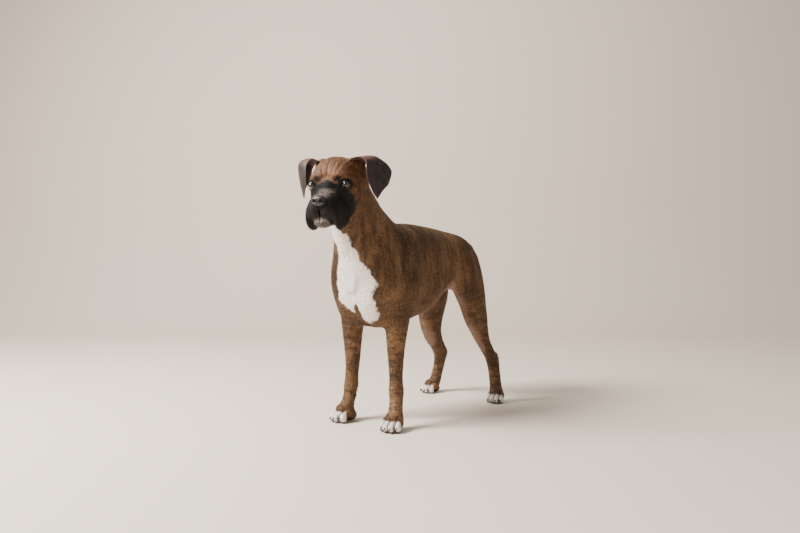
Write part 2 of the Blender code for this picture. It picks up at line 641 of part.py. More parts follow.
# ---------------------------------------------------------------- finish
FINISH = {  # colour, roughness
    "coat": ((0.20, 0.105, 0.055), 0.55),
    "white": ((0.68, 0.63, 0.57), 0.6),
    "dark": ((0.055, 0.035, 0.026), 0.55),
    "nose": ((0.012, 0.011, 0.012), 0.4),
    "eye": ((0.030, 0.012, 0.006), 0.08),
    "claw": ((0.035, 0.028, 0.024), 0.4),
}


def finish_for(name):
    if "claw" in name:
        return "claw"
    if "paw" in name:
        return "white"
    if name.startswith("ear"):
        return "dark"
    if name.startswith("eye"):
        return "eye"
    return "nose" if name == "nose" else "coat"


def dress(obj):
    colour, roughness = FINISH[finish_for(obj.name)]
    material = bpy.data.materials.new(obj.name)
    material.use_nodes = True
    node = material.node_tree.nodes["Principled BSDF"]
    node.inputs["Base Color"].default_value = (*colour, 1.0)
    node.inputs["Roughness"].default_value = roughness
    node.inputs["Metallic"].default_value = 0.0
    obj.data.materials.clear()
    obj.data.materials.append(material)
    for polygon in obj.data.polygons:
        polygon.use_smooth = True


def main():
    clear_scene()
    points, quads = flesh_field(STEP).surface()
    flesh = object_from("flesh", points.tolist(), quads.tolist())
    skin = flesh.modifiers.new("Skin", "REMESH")
    skin.mode = "VOXEL"
    skin.voxel_size = STEP
    smooth = flesh.modifiers.new("Round", "SMOOTH")
    smooth.factor = 0.5
    smooth.iterations = 3
    mesh = baked(flesh)
    flesh.modifiers.clear()
    flesh.data = mesh
    points = np.array([v.co for v in mesh.vertices])
    spread = flesh.vertex_groups.new(name="plain")
    face = np.array(HEAD_AT)
    fine = (np.linalg.norm(points - face, axis=1) < 0.13) | (points[:, 2] < 0.05)
    spread.add(np.flatnonzero(~fine).tolist(), 1.0, "REPLACE")
    spread.add(np.flatnonzero(fine).tolist(), 0.7, "REPLACE")
    thin = flesh.modifiers.new("Thin", "DECIMATE")
    thin.vertex_group = "plain"
    thin.vertex_group_factor = 1.0
    thin.ratio = FLESH_TRIANGLES / (2.0 * len(mesh.polygons))
    mesh = baked(flesh)
    flesh.modifiers.clear()
    flesh.data = mesh

    head = head_matrix()
    nose_place = head @ Matrix.Translation(NOSE_AT) @ Matrix.Rotation(math.radians(-10), 4, "X")
    eyes = {
        "eye_left": head @ Matrix.Translation(EYE_AT),
        "eye_right": head @ Matrix.Translation((-EYE_AT[0], *EYE_AT[1:])),
    }
    meshes = {name: ball_mesh([EYE_RADIUS] * 3, place) for name, place in eyes.items()}
    meshes["nose"] = ball_mesh(NOSE_SIZE, nose_place, square=2.6)
    meshes.update({name: claw_mesh(place) for name, place in claw_places().items()})
    meshes["ear_left"] = ear_mesh(EAR_LEFT)
    meshes["ear_right"] = ear_mesh(EAR_RIGHT)

    cut_away(flesh, [floor_block()])
    cut_away(flesh, parting_slabs())
    cut_away(flesh, [swollen(mesh, 2 * GAP) for mesh in meshes.values()])

    seeds = {name: Vector(p) for name, p in SEEDS.items()}
    seeds["head"] = head @ Vector((0, 0.03, -0.01))
    for name, (x, y, size, turn) in PAWS.items():
        seeds[name] = Vector((x, y, 0.025))
    pieces = []
    for points, faces in islands(flesh.data):
        middle = Vector(np.mean(np.asarray(points), axis=0))
        name = min(seeds, key=lambda key: (seeds[key] - middle).length)
        pieces.append(object_from(name, points, faces))
    bpy.data.objects.remove(flesh)

    for name, mesh in meshes.items():
        pieces.append(object_from(name, *swollen(mesh, 0.0)))

    corners = np.concatenate([[tuple(v.co) for v in obj.data.vertices] for obj in pieces])
    low, high = corners.min(axis=0), corners.max(axis=0)
    shift = Matrix.Translation((-(low[0] + high[0]) / 2, -(low[1] + high[1]) / 2, -low[2]))
    home = bpy.data.collections.new("boxer_dog")
    bpy.context.scene.collection.children.link(home)
    for obj in pieces:
        obj.data.transform(shift)
        bpy.context.scene.collection.objects.unlink(obj)
        home.objects.link(obj)
        dress(obj)


def floor_block():
    """The room under the floor as points and faces."""
    bm = bmesh.new()
    bmesh.ops.create_cube(bm, size=1.0)
    place = Matrix.Translation((0, 0, FLOOR - 0.05)) @ Matrix.Diagonal((0.8, 1.2, 0.1, 1.0))
    bmesh.ops.transform(bm, matrix=place, verts=bm.verts)
    points = [v.co.copy() for v in bm.verts]
    faces = [[v.index for v in f.verts] for f in bm.faces]
    bm.free()
    return points, faces


main()
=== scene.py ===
"""A standing brindle Boxer, life size: one continuous skin with its short coat over it, folded ears, wet
eyes with lids, a pebbled nose with nostrils, claws and whiskers, on a plain pale floor in soft studio light.

The skin is the zero level of a field of distances, as smooth tubes and balls that run into one another,
taken in by the coat's depth. Metres, +Z up; the dog faces -Y and its left side is +X.
"""

import math

import bpy
import numpy as np
from mathutils import Matrix, Vector


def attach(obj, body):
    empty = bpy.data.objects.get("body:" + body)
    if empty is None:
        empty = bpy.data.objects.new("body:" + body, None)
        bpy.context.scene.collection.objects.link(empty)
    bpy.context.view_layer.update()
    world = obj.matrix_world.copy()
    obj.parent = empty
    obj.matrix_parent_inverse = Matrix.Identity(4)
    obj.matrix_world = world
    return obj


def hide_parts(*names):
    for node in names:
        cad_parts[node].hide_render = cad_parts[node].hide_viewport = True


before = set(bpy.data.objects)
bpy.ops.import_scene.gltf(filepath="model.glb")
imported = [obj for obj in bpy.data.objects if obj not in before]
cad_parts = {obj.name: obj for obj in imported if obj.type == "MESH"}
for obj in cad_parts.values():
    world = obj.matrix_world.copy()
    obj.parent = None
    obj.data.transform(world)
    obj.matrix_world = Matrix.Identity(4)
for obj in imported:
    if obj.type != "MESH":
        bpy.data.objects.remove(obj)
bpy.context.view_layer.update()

SHIFT = np.array([0.00837, 0.04324, -0.00082])  # from the dog's own axes to the frame's
COAT = 0.0015  # the skin lies this far inside the coat's outline
FLOOR_GAP = 0.0009  # neither skin nor coat goes lower than this
SKIN_TRIANGLES = 188000
TUFTS = 84000
COAT_PIECES = 5
WITHERS = 0.573  # height of the back over the shoulders
BRISKET = 0.276  # height of the breastbone between the elbows
HEAD_AT = (0.029, -0.381, 0.656)  # midway between the eyes
HEAD_YAW = 21.0  # the head looks this far to its left, in degrees
HEAD_PITCH = 8.0  # and this far down
EYE_RADIUS = 0.0113
EYE_AT = (0.0470, 0.0090, 0.0)  # the left eye's middle, in the head's axes
BOX = ((-0.20, -0.52, -0.012), (0.20, 0.42, 0.78))  # the grid's two far corners
VIEW_TURN = math.radians(38)  # how far the view is turned about the upright
VIEW_SIZE = (800, 533)  # in pixels, as are the next two
FOCAL = 690
HORIZON_ROW = 258
SENSOR = 36  # mm
FLOATS = ("White", "Mask", "Tan", "Grey", "Belly", "Pad", "Gap", "Shade")  # the coat's marks, as sockets
VECTORS = ("Grain", "Hair")
RNG = np.random.default_rng(11)


# ---------------------------------------------------------------- the field of distances
def hermite(values, knots, at):
    """Values given at knots, read at other places along cubic Hermite curves with central slopes."""
    slope = np.gradient(values, knots, axis=0)
    i = np.clip(np.searchsorted(knots, at, side="right") - 1, 0, len(knots) - 2)
    column = (-1,) + (1,) * (values.ndim - 1)
    h = (knots[i + 1] - knots[i]).reshape(column)
    u = (at - knots[i]).reshape(column) / h
    return (
        values[i] * (2 * u**3 - 3 * u**2 + 1)
        + slope[i] * h * (u**3 - 2 * u**2 + u)
        + values[i + 1] * (3 * u**2 - 2 * u**3)
        + slope[i + 1] * h * (u**3 - u**2)
    )


def curve_rows(rows, count=240):
    """Rows whose first number is the place along the tube, carried along Hermite curves and read at even
    places."""
    table = np.asarray(sorted(rows), float)
    knots = table[:, 0]
    return hermite(table, knots, np.linspace(knots[0], knots[-1], count))


def to_local(grid, matrix):
    """Grid points in the axes of a matrix."""
    if matrix is None:
        return grid
    rows = np.array(matrix.inverted())[:3]
    return [a * grid[0] + b * grid[1] + c * grid[2] + d for a, b, c, d in rows]


class Field:
    """Distances to the outline on a grid whose spacing may change along each axis; negative inside."""

    def __init__(self, axes):
        """Starts 1 m outside everywhere."""
        self.axes = axes
        self.step = max(np.diff(a).max() for a in axes)
        self.value = np.ones([len(a) for a in axes])

    def window(self, low, high, margin):
        """The part of the grid round a box, as slices and its points."""
        cut = []
        for axis, a, b in zip(self.axes, low, high):
            cut.append(slice(*np.searchsorted(axis, (a - margin, b + margin))))
        grid = np.meshgrid(*(axis[c] for axis, c in zip(self.axes, cut)), indexing="ij")
        return tuple(cut), grid

    def join(self, cut, distance, blend):
        """The smaller of two distances, eased over the blend where they are nearly equal."""
        old = self.value[cut]
        h = np.clip(0.5 + 0.5 * (old - distance) / blend, 0.0, 1.0)
        self.value[cut] = old * (1 - h) + distance * h - blend * h * (1 - h)

    def carve(self, cut, distance, blend):
        """Takes a shape away, eased over the blend."""
        old = self.value[cut]
        h = np.clip(0.5 - 0.5 * (old + distance) / blend, 0.0, 1.0)
        self.value[cut] = old * (1 - h) - distance * h + blend * h * (1 - h)

    def ball(self, centre, radii, turn=(0.0, 0.0, 0.0), blend=0.012, matrix=None, hollow=False):
        """An ellipsoid turned by angles in degrees: distance = s(s - 1) / |grad s|, s the scaled radius."""
        place = Matrix.Translation(centre)
        for angle, axis in zip(turn, "XYZ"):
            place = place @ Matrix.Rotation(math.radians(angle), 4, axis)
        if matrix is not None:
            place = matrix @ place
        middle = np.array(place.translation)
        reach = max(radii)
        cut, grid = self.window(middle - reach, middle + reach, blend + 3 * self.step)
        local = to_local(grid, place)
        scaled = np.sqrt(sum((c / r) ** 2 for c, r in zip(local, radii)))
        steep = np.sqrt(sum((c / r**2) ** 2 for c, r in zip(local, radii))) + 1e-9
        (self.carve if hollow else self.join)(cut, scaled * (scaled - 1.0) / steep, blend)

    def balls(self, rows, side=1, matrix=None):
        """Balls joined in turn, mirrored in x if side is -1. A row is: centre, radii, turn, blend."""
        for (x, y, z), radii, (pitch, roll, yaw), blend in rows:
            self.ball((side * x, y, z), radii, (pitch, side * roll, side * yaw), blend, matrix)

    def tube(self, rows, axis="Y", square=2.0, blend=0.012, matrix=None, mirror=1):
        """A tapering tube of superellipse slices square to one axis. A row is: place along the axis, x,
        middle of the section, half width, reach to the + side, reach to the - side."""
        table = curve_rows([(r[0], r[1] * mirror, *r[2:]) for r in rows])
        t, x, mid, width, plus, minus = table.T
        spread = max(width.max(), plus.max(), minus.max())
        low = (x.min() - spread, t.min(), mid.min() - spread)
        high = (x.max() + spread, t.max(), mid.max() + spread)
        corner = [low, high]
        if axis == "Z":
            corner = [(a, c, b) for a, b, c in corner]
        if matrix is not None:
            eight = [Vector((a[0], b[1], c[2])) for a in corner for b in corner for c in corner]
            box = np.array([matrix @ spot for spot in eight])
            corner = [box.min(axis=0), box.max(axis=0)]
        cut, grid = self.window(*corner, blend + 3 * self.step)
        spots = [a[c] for a, c in zip(self.axes, cut)]
        local = to_local(grid, matrix)
        along, off = (local[1], local[2]) if axis == "Y" else (local[2], local[1])
        wide = np.interp(along, t, width)
        across = np.abs(local[0] - np.interp(along, t, x)) / wide
        off = off - np.interp(along, t, mid)
        reach = np.where(off > 0, np.interp(along, t, plus), np.interp(along, t, minus))
        off = np.abs(off) / reach
        norm = (across**square + off**square + 1e-12) ** (1.0 / square)
        level = np.hypot((across / norm) ** (square - 1) / wide, (off / norm) ** (square - 1) / reach)
        steep = np.sqrt(sum(g**2 for g in np.gradient(norm, *spots)))
        distance = (norm - 1.0) / np.clip(steep, 4.0, level * 1.4)
        ends = np.maximum(t[0] - along, along - t[-1])
        self.join(cut, np.maximum(distance, ends), blend)

    def surface(self, level=0.0):
        """The level surface: one point in each cell it passes through, at the mean of its crossings, and one
        quad round each grid edge it crosses."""
        v = self.value - level
        inside = v < 0
        shape = np.array(v.shape)
        count = np.zeros(shape - 1, np.int8)
        corners = [np.array((a, b, c)) for a in (0, 1) for b in (0, 1) for c in (0, 1)]
        for a, b, c in corners:
            count += inside[a : shape[0] - 1 + a, b : shape[1] - 1 + b, c : shape[2] - 1 + c]
        cells = np.argwhere((count > 0) & (count < 8))
        index = np.full(count.shape, -1, np.int32)
        index[tuple(cells.T)] = np.arange(len(cells))
        total = np.zeros((len(cells), 3))
        hits = np.zeros(len(cells))
        for a in corners:
            for axis in range(3):
                if a[axis]:
                    continue
                b = a.copy()
                b[axis] = 1
                va = v[tuple((cells + a).T)]
                vb = v[tuple((cells + b).T)]
                crossed = (va < 0) != (vb < 0)
                u = np.where(crossed, va / np.where(crossed, va - vb, 1.0), 0.0)
                total += (a + (b - a) * u[:, None]) * crossed[:, None]
                hits += crossed
        place = cells + total / hits[:, None]
        columns = [np.interp(place[:, k], np.arange(shape[k]), self.axes[k]) for k in range(3)]
        points = np.stack(columns, axis=1)
        quads = []
        for axis in range(3):
            one, two = (axis + 1) % 3, (axis + 2) % 3
            near = [slice(1, -1)] * 3
            near[axis] = slice(0, -1)
            far = list(near)
            far[axis] = slice(1, None)
            edges = np.argwhere(inside[tuple(near)] != inside[tuple(far)])
            edges = edges + np.array([1 if k != axis else 0 for k in range(3)])
            leaving = inside[tuple(edges.T)]
            e1 = np.eye(3, dtype=int)[one]
            e2 = np.eye(3, dtype=int)[two]
            quad = np.stack([index[tuple((edges - d).T)] for d in (e1 + e2, e2, 0 * e1, e1)], axis=1)
            quad[~leaving] = quad[~leaving][:, ::-1]
            quads.append(quad)
        return points, np.concatenate(quads)


# ---------------------------------------------------------------- the body
def add_trunk(field):
    """Breast, rib cage, loin and croup as one tube, with the breastbone, hips and seat over it."""
    top, low = WITHERS, BRISKET
    rows = [
        (-0.260, 0.425, 0.385, 0.405, 0.010),
        (-0.256, 0.460, 0.350, 0.405, 0.036),
        (-0.245, 0.490, 0.325, 0.405, 0.062),
        (-0.215, 0.525, 0.296, 0.405, 0.088),
        (-0.160, 0.555, low - 0.001, 0.41, 0.098),
        (-0.100, top - 0.004, low, 0.41, 0.100),
        (-0.030, top, low + 0.013, 0.415, 0.103),
        (0.040, top - 0.004, low + 0.031, 0.425, 0.101),
        (0.100, top - 0.009, low + 0.066, 0.44, 0.087),
        (0.160, top - 0.017, low + 0.088, 0.455, 0.073),
        (0.220, top - 0.032, low + 0.100, 0.46, 0.070),
        (0.258, top - 0.052, 0.390, 0.46, 0.058),
        (0.280, top - 0.076, 0.410, 0.46, 0.042),
        (0.292, top - 0.104, 0.435, 0.46, 0.018),
    ]
    field.tube([(y, 0.0, mid, w, high - mid, mid - bottom) for y, high, bottom, mid, w in rows], square=2.2)
    field.ball((0.0, -0.226, 0.420), (0.056, 0.042, 0.070), blend=0.04)
    pair = [
        ((0.050, -0.212, 0.468), (0.037, 0.052, 0.074), (-16, 0, 0), 0.03),
        ((0.042, -0.200, 0.350), (0.042, 0.046, 0.066), (0, 0, 12), 0.04),
        ((0.048, 0.188, 0.492), (0.036, 0.060, 0.040), (-14, 0, 0), 0.04),
        ((0.036, 0.252, 0.452), (0.036, 0.046, 0.060), (14, 0, 0), 0.03),
    ]
    for side in (1, -1):
        field.balls(pair, side)


def add_neck(field):
    """The neck rises from the shoulders to the nape."""
    place = Matrix.Translation((0.0, -0.2034, 0.534)) @ Matrix.Rotation(math.atan2(0.62, 0.785), 4, "X")
    rows = [
        (-0.130, 0.000, -0.004, 0.090, 0.098, 0.104),
        (-0.060, 0.000, 0.000, 0.088, 0.100, 0.114),
        (0.000, 0.000, 0.000, 0.077, 0.090, 0.104),
        (0.048, 0.001, -0.003, 0.069, 0.080, 0.088),
        (0.080, 0.003, 0.000, 0.065, 0.073, 0.080),
        (0.120, 0.006, 0.004, 0.060, 0.062, 0.072),
        (0.150, 0.008, 0.008, 0.052, 0.046, 0.060),
    ]
    field.tube(rows, axis="Z", square=2.1, blend=0.03, matrix=place)


def add_tail(field):
    """A docked stub that carries on the line of the croup."""
    rows = [
        (0.262, 0.0, 0.505, 0.019, 0.017, 0.018),
        (0.290, 0.0, 0.497, 0.0165, 0.015, 0.017),
        (0.315, 0.0, 0.482, 0.0140, 0.013, 0.015),
        (0.330, 0.0, 0.470, 0.0100, 0.009, 0.010),
    ]
    field.tube(rows, blend=0.016)


# a row of a limb: height, x, y of the middle, half width, reach back, reach ahead
FORE = [
    (0.400, 0.078, -0.160, 0.036, 0.056, 0.060),
    (0.340, 0.080, -0.160, 0.034, 0.046, 0.052),
    (0.300, 0.081, -0.160, 0.032, 0.037, 0.043),
    (0.260, 0.081, -0.163, 0.0280, 0.031, 0.035),
    (0.217, 0.080, -0.165, 0.0238, 0.0275, 0.0280),
    (0.175, 0.080, -0.165, 0.0205, 0.0230, 0.0240),
    (0.130, 0.082, -0.167, 0.0190, 0.0205, 0.0210),
    (0.105, 0.083, -0.168, 0.0210, 0.0215, 0.0225),
    (0.080, 0.085, -0.171, 0.0195, 0.0205, 0.0200),
    (0.055, 0.088, -0.177, 0.0205, 0.0205, 0.0210),
    (0.030, 0.091, -0.181, 0.0230, 0.0200, 0.0240),
]
HIND_LEFT = [
    (0.495, 0.050, 0.200, 0.024, 0.036, 0.040),
    (0.475, 0.056, 0.203, 0.035, 0.056, 0.058),
    (0.440, 0.066, 0.203, 0.042, 0.070, 0.072),
    (0.400, 0.073, 0.205, 0.043, 0.074, 0.074),
    (0.360, 0.080, 0.212, 0.040, 0.068, 0.068),
    (0.320, 0.086, 0.222, 0.036, 0.056, 0.057),
    (0.270, 0.092, 0.234, 0.032, 0.047, 0.048),
    (0.207, 0.099, 0.260, 0.0225, 0.031, 0.032),
    (0.175, 0.102, 0.282, 0.0205, 0.030, 0.028),
    (0.147, 0.106, 0.303, 0.0195, 0.0265, 0.027),
    (0.125, 0.109, 0.309, 0.0192, 0.026, 0.024),
    (0.100, 0.112, 0.311, 0.0185, 0.0235, 0.0215),
    (0.070, 0.116, 0.311, 0.0190, 0.0225, 0.0215),
    (0.045, 0.119, 0.312, 0.0205, 0.0220, 0.0220),
    (0.028, 0.122, 0.312, 0.0215, 0.0210, 0.0225),
]
HIND_RIGHT = [
    (0.495, 0.050, 0.200, 0.024, 0.036, 0.040),
    (0.475, 0.056, 0.203, 0.035, 0.056, 0.058),
    (0.440, 0.066, 0.205, 0.042, 0.070, 0.072),
    (0.400, 0.072, 0.210, 0.043, 0.076, 0.076),
    (0.360, 0.077, 0.222, 0.044, 0.078, 0.072),
    (0.336, 0.080, 0.228, 0.042, 0.074, 0.066),
    (0.304, 0.086, 0.238, 0.037, 0.062, 0.058),
    (0.266, 0.093, 0.244, 0.033, 0.051, 0.052),
    (0.224, 0.098, 0.255, 0.0275, 0.042, 0.043),
    (0.187, 0.104, 0.281, 0.0230, 0.038, 0.038),
    (0.160, 0.108, 0.310, 0.0205, 0.034, 0.034),
    (0.140, 0.112, 0.326, 0.0200, 0.030, 0.030),
    (0.115, 0.117, 0.331, 0.0188, 0.025, 0.025),
    (0.080, 0.126, 0.332, 0.0185, 0.0220, 0.0220),
    (0.050, 0.133, 0.329, 0.0200, 0.0220, 0.0220),
    (0.028, 0.138, 0.325, 0.0215, 0.0210, 0.0225),
]
PAWS = {  # x, y of the paw's middle, size, outward turn in degrees
    "forepaw_left": (0.092, -0.192, 0.95, 14),
    "forepaw_right": (-0.088, -0.190, 0.98, -14),
    "hindpaw_left": (0.123, 0.307, 0.86, 14),
    "hindpaw_right": (-0.140, 0.312, 0.88, -12),
}
TOES = [(-0.0245, 0.0075), (-0.0088, -0.0035), (0.0088, -0.0035), (0.0245, 0.0075)]  # across, ahead


def add_foreleg(field, side):
    """Shoulder blade, upper arm, forearm, wrist and pastern of one foreleg."""
    field.tube(FORE, axis="Z", square=2.1, blend=0.022, mirror=side)
    muscles = [
        ((0.062, -0.115, 0.470), (0.034, 0.050, 0.085), (-24, 0, 0), 0.03),
        ((0.070, -0.196, 0.400), (0.040, 0.046, 0.072), (18, 0, 0), 0.03),
        ((0.076, -0.120, 0.390), (0.037, 0.056, 0.074), (-20, 0, 0), 0.03),
        ((0.079, -0.120, 0.322), (0.020, 0.021, 0.025), (0, 0, 0), 0.014),
        ((0.086, -0.150, 0.094), (0.0085, 0.0095, 0.0095), (0, 0, 0), 0.006),
    ]
    field.balls(muscles, side)


def add_hindleg(field, side):
    """Thigh, second thigh, hock and rear pastern of one hind leg."""
    rows = HIND_LEFT if side > 0 else HIND_RIGHT
    field.tube(rows, axis="Z", square=2.1, blend=0.026, mirror=side)
    tip = (side * 0.108, 0.320, 0.141) if side > 0 else (side * 0.113, 0.350, 0.141)
    field.ball(tip, (0.0105, 0.0115, 0.020), (-16, 0, 0), blend=0.014)


def add_paw(field, name):
    """Four arched toes over their pads, on the floor."""
    x, y, size, turn = PAWS[name]
    place = Matrix.Translation((x, y, 0.0)) @ Matrix.Rotation(math.radians(turn), 4, "Z")
    scaled = lambda *values: tuple(v * size for v in values)
    field.ball(scaled(0.0, 0.016, 0.018), scaled(0.025, 0.022, 0.017), blend=0.010, matrix=place)
    back = scaled(0.0, -0.002, 0.034)
    field.ball(back, scaled(0.025, 0.028, 0.018), (-18, 0, 0), blend=0.012, matrix=place)
    for across, ahead in TOES:
        knuckle = scaled(across * 0.93, -0.013 + ahead, 0.0275)
        tip = scaled(across, -0.030 + ahead, 0.0155)
        field.ball(knuckle, scaled(0.0096, 0.018, 0.0120), (24, 0, -across * 300), blend=0.004, matrix=place)
        field.ball(tip, scaled(0.0098, 0.0125, 0.0155), blend=0.004, matrix=place)


def head_matrix():
    """The head's axes: turned by its yaw, then by its pitch, about the point between the eyes."""
    yaw = Matrix.Rotation(math.radians(HEAD_YAW), 4, "Z")
    pitch = Matrix.Rotation(math.radians(HEAD_PITCH), 4, "X")
    return Matrix.Translation(HEAD_AT) @ (yaw @ pitch)


def add_head(field):
    """Skull, brows, cheeks, muzzle, hanging lips and the under-shot chin, in the head's own axes."""
    m = head_matrix()
    skull = [
        (-0.006, 0.0, 0.004, 0.028, 0.026, 0.030),
        (0.000, 0.0, 0.004, 0.042, 0.040, 0.045),
        (0.012, 0.0, 0.004, 0.0515, 0.054, 0.055),
        (0.035, 0.0, 0.004, 0.0580, 0.065, 0.062),
        (0.060, 0.0, 0.004, 0.0610, 0.070, 0.066),
        (0.090, 0.0, 0.004, 0.0600, 0.066, 0.066),
        (0.118, 0.0, 0.004, 0.0490, 0.053, 0.056),
        (0.138, 0.0, 0.004, 0.0270, 0.033, 0.036),
    ]
    field.tube(skull, square=2.25, blend=0.03, matrix=m)
    muzzle = [
        (-0.066, 0.0, -0.052, 0.019, 0.018, 0.018),
        (-0.061, 0.0, -0.052, 0.029, 0.028, 0.028),
        (-0.049, 0.0, -0.051, 0.0350, 0.033, 0.037),
        (-0.030, 0.0, -0.050, 0.0380, 0.036, 0.042),
        (-0.010, 0.0, -0.047, 0.0405, 0.037, 0.046),
        (0.010, 0.0, -0.044, 0.0450, 0.038, 0.050),
        (0.030, 0.0, -0.042, 0.0480, 0.040, 0.052),
    ]
    field.tube(muzzle, square=2.4, blend=0.012, matrix=m)
    middle = [
        ((0.0, -0.048, -0.0905), (0.025, 0.0190, 0.0150), (-12, 0, 0), 0.009),
        ((0.0, -0.004, -0.086), (0.032, 0.048, 0.018), (8, 0, 0), 0.012),
        ((0.0, 0.000, 0.000), (0.018, 0.012, 0.016), (0, 0, 0), 0.014),
    ]
    pair = [
        ((0.0485, 0.066, -0.024), (0.0205, 0.050, 0.044), (0, 0, 0), 0.020),
        ((0.038, 0.072, -0.062), (0.022, 0.040, 0.027), (0, 0, 0), 0.020),
        ((0.046, 0.080, 0.054), (0.016, 0.028, 0.016), (0, 40, 0), 0.014),
        ((0.029, 0.005, 0.026), (0.020, 0.014, 0.012), (0, 14, 0), 0.012),
        ((0.047, 0.014, 0.002), (0.0125, 0.0135, 0.018), (0, 0, 0), 0.012),
        ((0.0345, -0.024, -0.078), (0.0125, 0.036, 0.036), (14, 0, 8), 0.011),
        ((0.0370, 0.006, -0.078), (0.0130, 0.034, 0.0300), (0, 0, 0), 0.010),
        ((0.055, 0.092, 0.016), (0.020, 0.030, 0.044), (0, 0, 0), 0.014),
        ((0.0205, -0.0495, -0.061), (0.0195, 0.0175, 0.0220), (0, 0, 0), 0.010),
    ]
    field.balls(middle, matrix=m)
    for side in (1, -1):
        field.balls(pair, side, m)
    for side in (1, -1):
        eye = (side * EYE_AT[0], EYE_AT[1] - 0.0125, EYE_AT[2])
        field.ball(eye, (0.0118, 0.0090, 0.0066), (0, 0, side * 14), 0.0025, m, hollow=True)
    cleft = (0.0, -0.069, -0.071)
    field.ball(cleft, (0.0010, 0.008, 0.013), blend=0.0025, matrix=m, hollow=True)


def spaced(high, changes):
    """Places along an axis: from each (start, step) in turn up to the next start."""
    parts = []
    bounds = [start for start, _ in changes] + [high]
    for (start, step), stop in zip(changes, bounds[1:]):
        parts.append(np.linspace(start, stop, int(round((stop - start) / step)), endpoint=False))
    return np.append(np.concatenate(parts), high)


def head_points(points):
    """Points of the dog's own axes in the head's axes."""
    back = np.array(head_matrix().inverted())
    return points @ back[:3, :3].T + back[:3, 3]


def bump(distance, width):
    """A bell over a distance: exp(-(d / width)^2)."""
    return np.exp(-((distance / width) ** 2))


def ramp(value, low, high):
    """Smooth rise from 0 at low to 1 at high."""
    t = np.clip((value - low) / (high - low), 0.0, 1.0)
    return t * t * (3.0 - 2.0 * t)


def relief(points, normals):
    """Moves points along their normals: upright furrows between the brows, a crease round each cheek, folds
    on the muzzle's side, tendons down the legs and the ribs' shallow waves."""
    p = head_points(points)
    x, y, z = p.T
    front = ramp(-normals @ np.array(head_matrix())[:3, 1], 0.0, 0.5)
    brow = ramp(z, 0.012, 0.030) * (1 - ramp(z, 0.055, 0.070)) * (1 - ramp(np.abs(y), 0.05, 0.08))
    brow = brow * (1 - ramp(np.abs(x), 0.034, 0.050))
    lift = -0.0016 * bump(x, 0.0022) * brow
    for place, depth in ((0.0120, 0.0008), (0.0250, 0.0006)):
        bend = place + 0.30 * (z - 0.03)
        lift += -depth * bump(np.abs(x) - bend, 0.0019) * brow
        lift += 0.6 * depth * bump(np.abs(x) - bend - 0.0045, 0.0030) * brow
    side = ramp(np.abs(x), 0.024, 0.034) * ramp(-z, 0.015, 0.03)
    fold = y - 0.012 - 0.35 * (z + 0.05)
    folds = -0.0018 * bump(fold, 0.0032) + 0.0010 * bump(fold - 0.0075, 0.005)
    lift += side * folds * ramp(-z, 0.02, 0.035)
    fold = y + 0.004 - 0.42 * (z + 0.05)
    lift += side * (-0.0010 * bump(fold, 0.0026)) * ramp(z, -0.085, -0.07)
    bridge = ramp(-y, -0.005, 0.005) * (1 - ramp(-y, 0.030, 0.040)) * ramp(normals[:, 2], 0.3, 0.7)
    lift += -0.0008 * bump(np.mod(y + 0.004, 0.011) - 0.0055, 0.0016) * bridge
    pouch = bump(z + 0.0145 - 0.1 * np.abs(np.abs(x) - 0.045), 0.0020) * ramp(np.abs(x), 0.026, 0.034)
    lift += -0.0011 * pouch * (1 - ramp(np.abs(y + 0.003), 0.010, 0.022)) * front
    x, y, z = points.T
    ribs = ramp(y, -0.06, -0.01) * (1 - ramp(y, 0.08, 0.13)) * ramp(np.abs(x), 0.06, 0.09)
    ribs = ribs * ramp(z, 0.32, 0.36) * (1 - ramp(z, 0.46, 0.50))
    lift += 0.0007 * np.sin(2 * np.pi * (y + 0.35 * (z - 0.4)) / 0.026) * ribs
    throat = ramp(-y, 0.22, 0.27) * ramp(z, 0.42, 0.46) * (1 - ramp(z, 0.56, 0.60))
    lift += -0.0012 * bump(np.abs(x) - 0.014 - 0.10 * (z - 0.45), 0.004) * throat
    lift += -0.0016 * bump(z - 0.470 - 0.8 * np.abs(x), 0.005) * throat * bump(x, 0.05)
    lift += -0.0016 * bump(x, 0.006) * ramp(-y, 0.19, 0.22) * (1 - ramp(z, 0.38, 0.42))
    forearm = ramp(z, 0.11, 0.14) * (1 - ramp(z, 0.25, 0.30)) * (y < 0)
    lift += -0.0012 * bump(y + 0.150 - 0.06 * (z - 0.2), 0.0035) * forearm * (np.abs(x) > 0.085)
    shank = ramp(z, 0.14, 0.17) * (1 - ramp(z, 0.25, 0.29)) * (y > 0.1)
    middle = np.interp(z, [0.14, 0.20, 0.28], [0.330, 0.285, 0.262])
    lift += -0.0024 * bump(y - middle, 0.005) * shank
    return points + normals * lift[:, None]


def vertex_normals(points, faces):
    """Normals at points: the sum of the crossed diagonals of the faces round each."""
    a, b, c, d = (points[faces[:, k]] for k in range(4))
    square = np.cross(c - a, d - b)
    total = np.zeros_like(points)
    for k in range(4):
        for axis in range(3):
            total[:, axis] += np.bincount(faces[:, k], square[:, axis], len(points))
    return total / (np.linalg.norm(total, axis=1)[:, None] + 1e-12)


# ---------------------------------------------------------------- meshes
def mesh_from(name, points, faces, check=True):
    """A smooth-shaded mesh from arrays; faces all have the same number of corners."""
    mesh = bpy.data.meshes.new(name)
    faces = np.asarray(faces, np.int32)
    sides = faces.shape[1]
    mesh.vertices.add(len(points))
    mesh.vertices.foreach_set("co", np.asarray(points, np.float32).ravel())
    mesh.loops.add(faces.size)
    mesh.loops.foreach_set("vertex_index", faces.ravel())
    mesh.polygons.add(len(faces))
    mesh.polygons.foreach_set("loop_start", np.arange(0, faces.size, sides, dtype=np.int32))
    mesh.update(calc_edges=True)
    if check:
        mesh.validate()
    mesh.polygons.foreach_set("use_smooth", np.full(len(mesh.polygons), True))
    return mesh


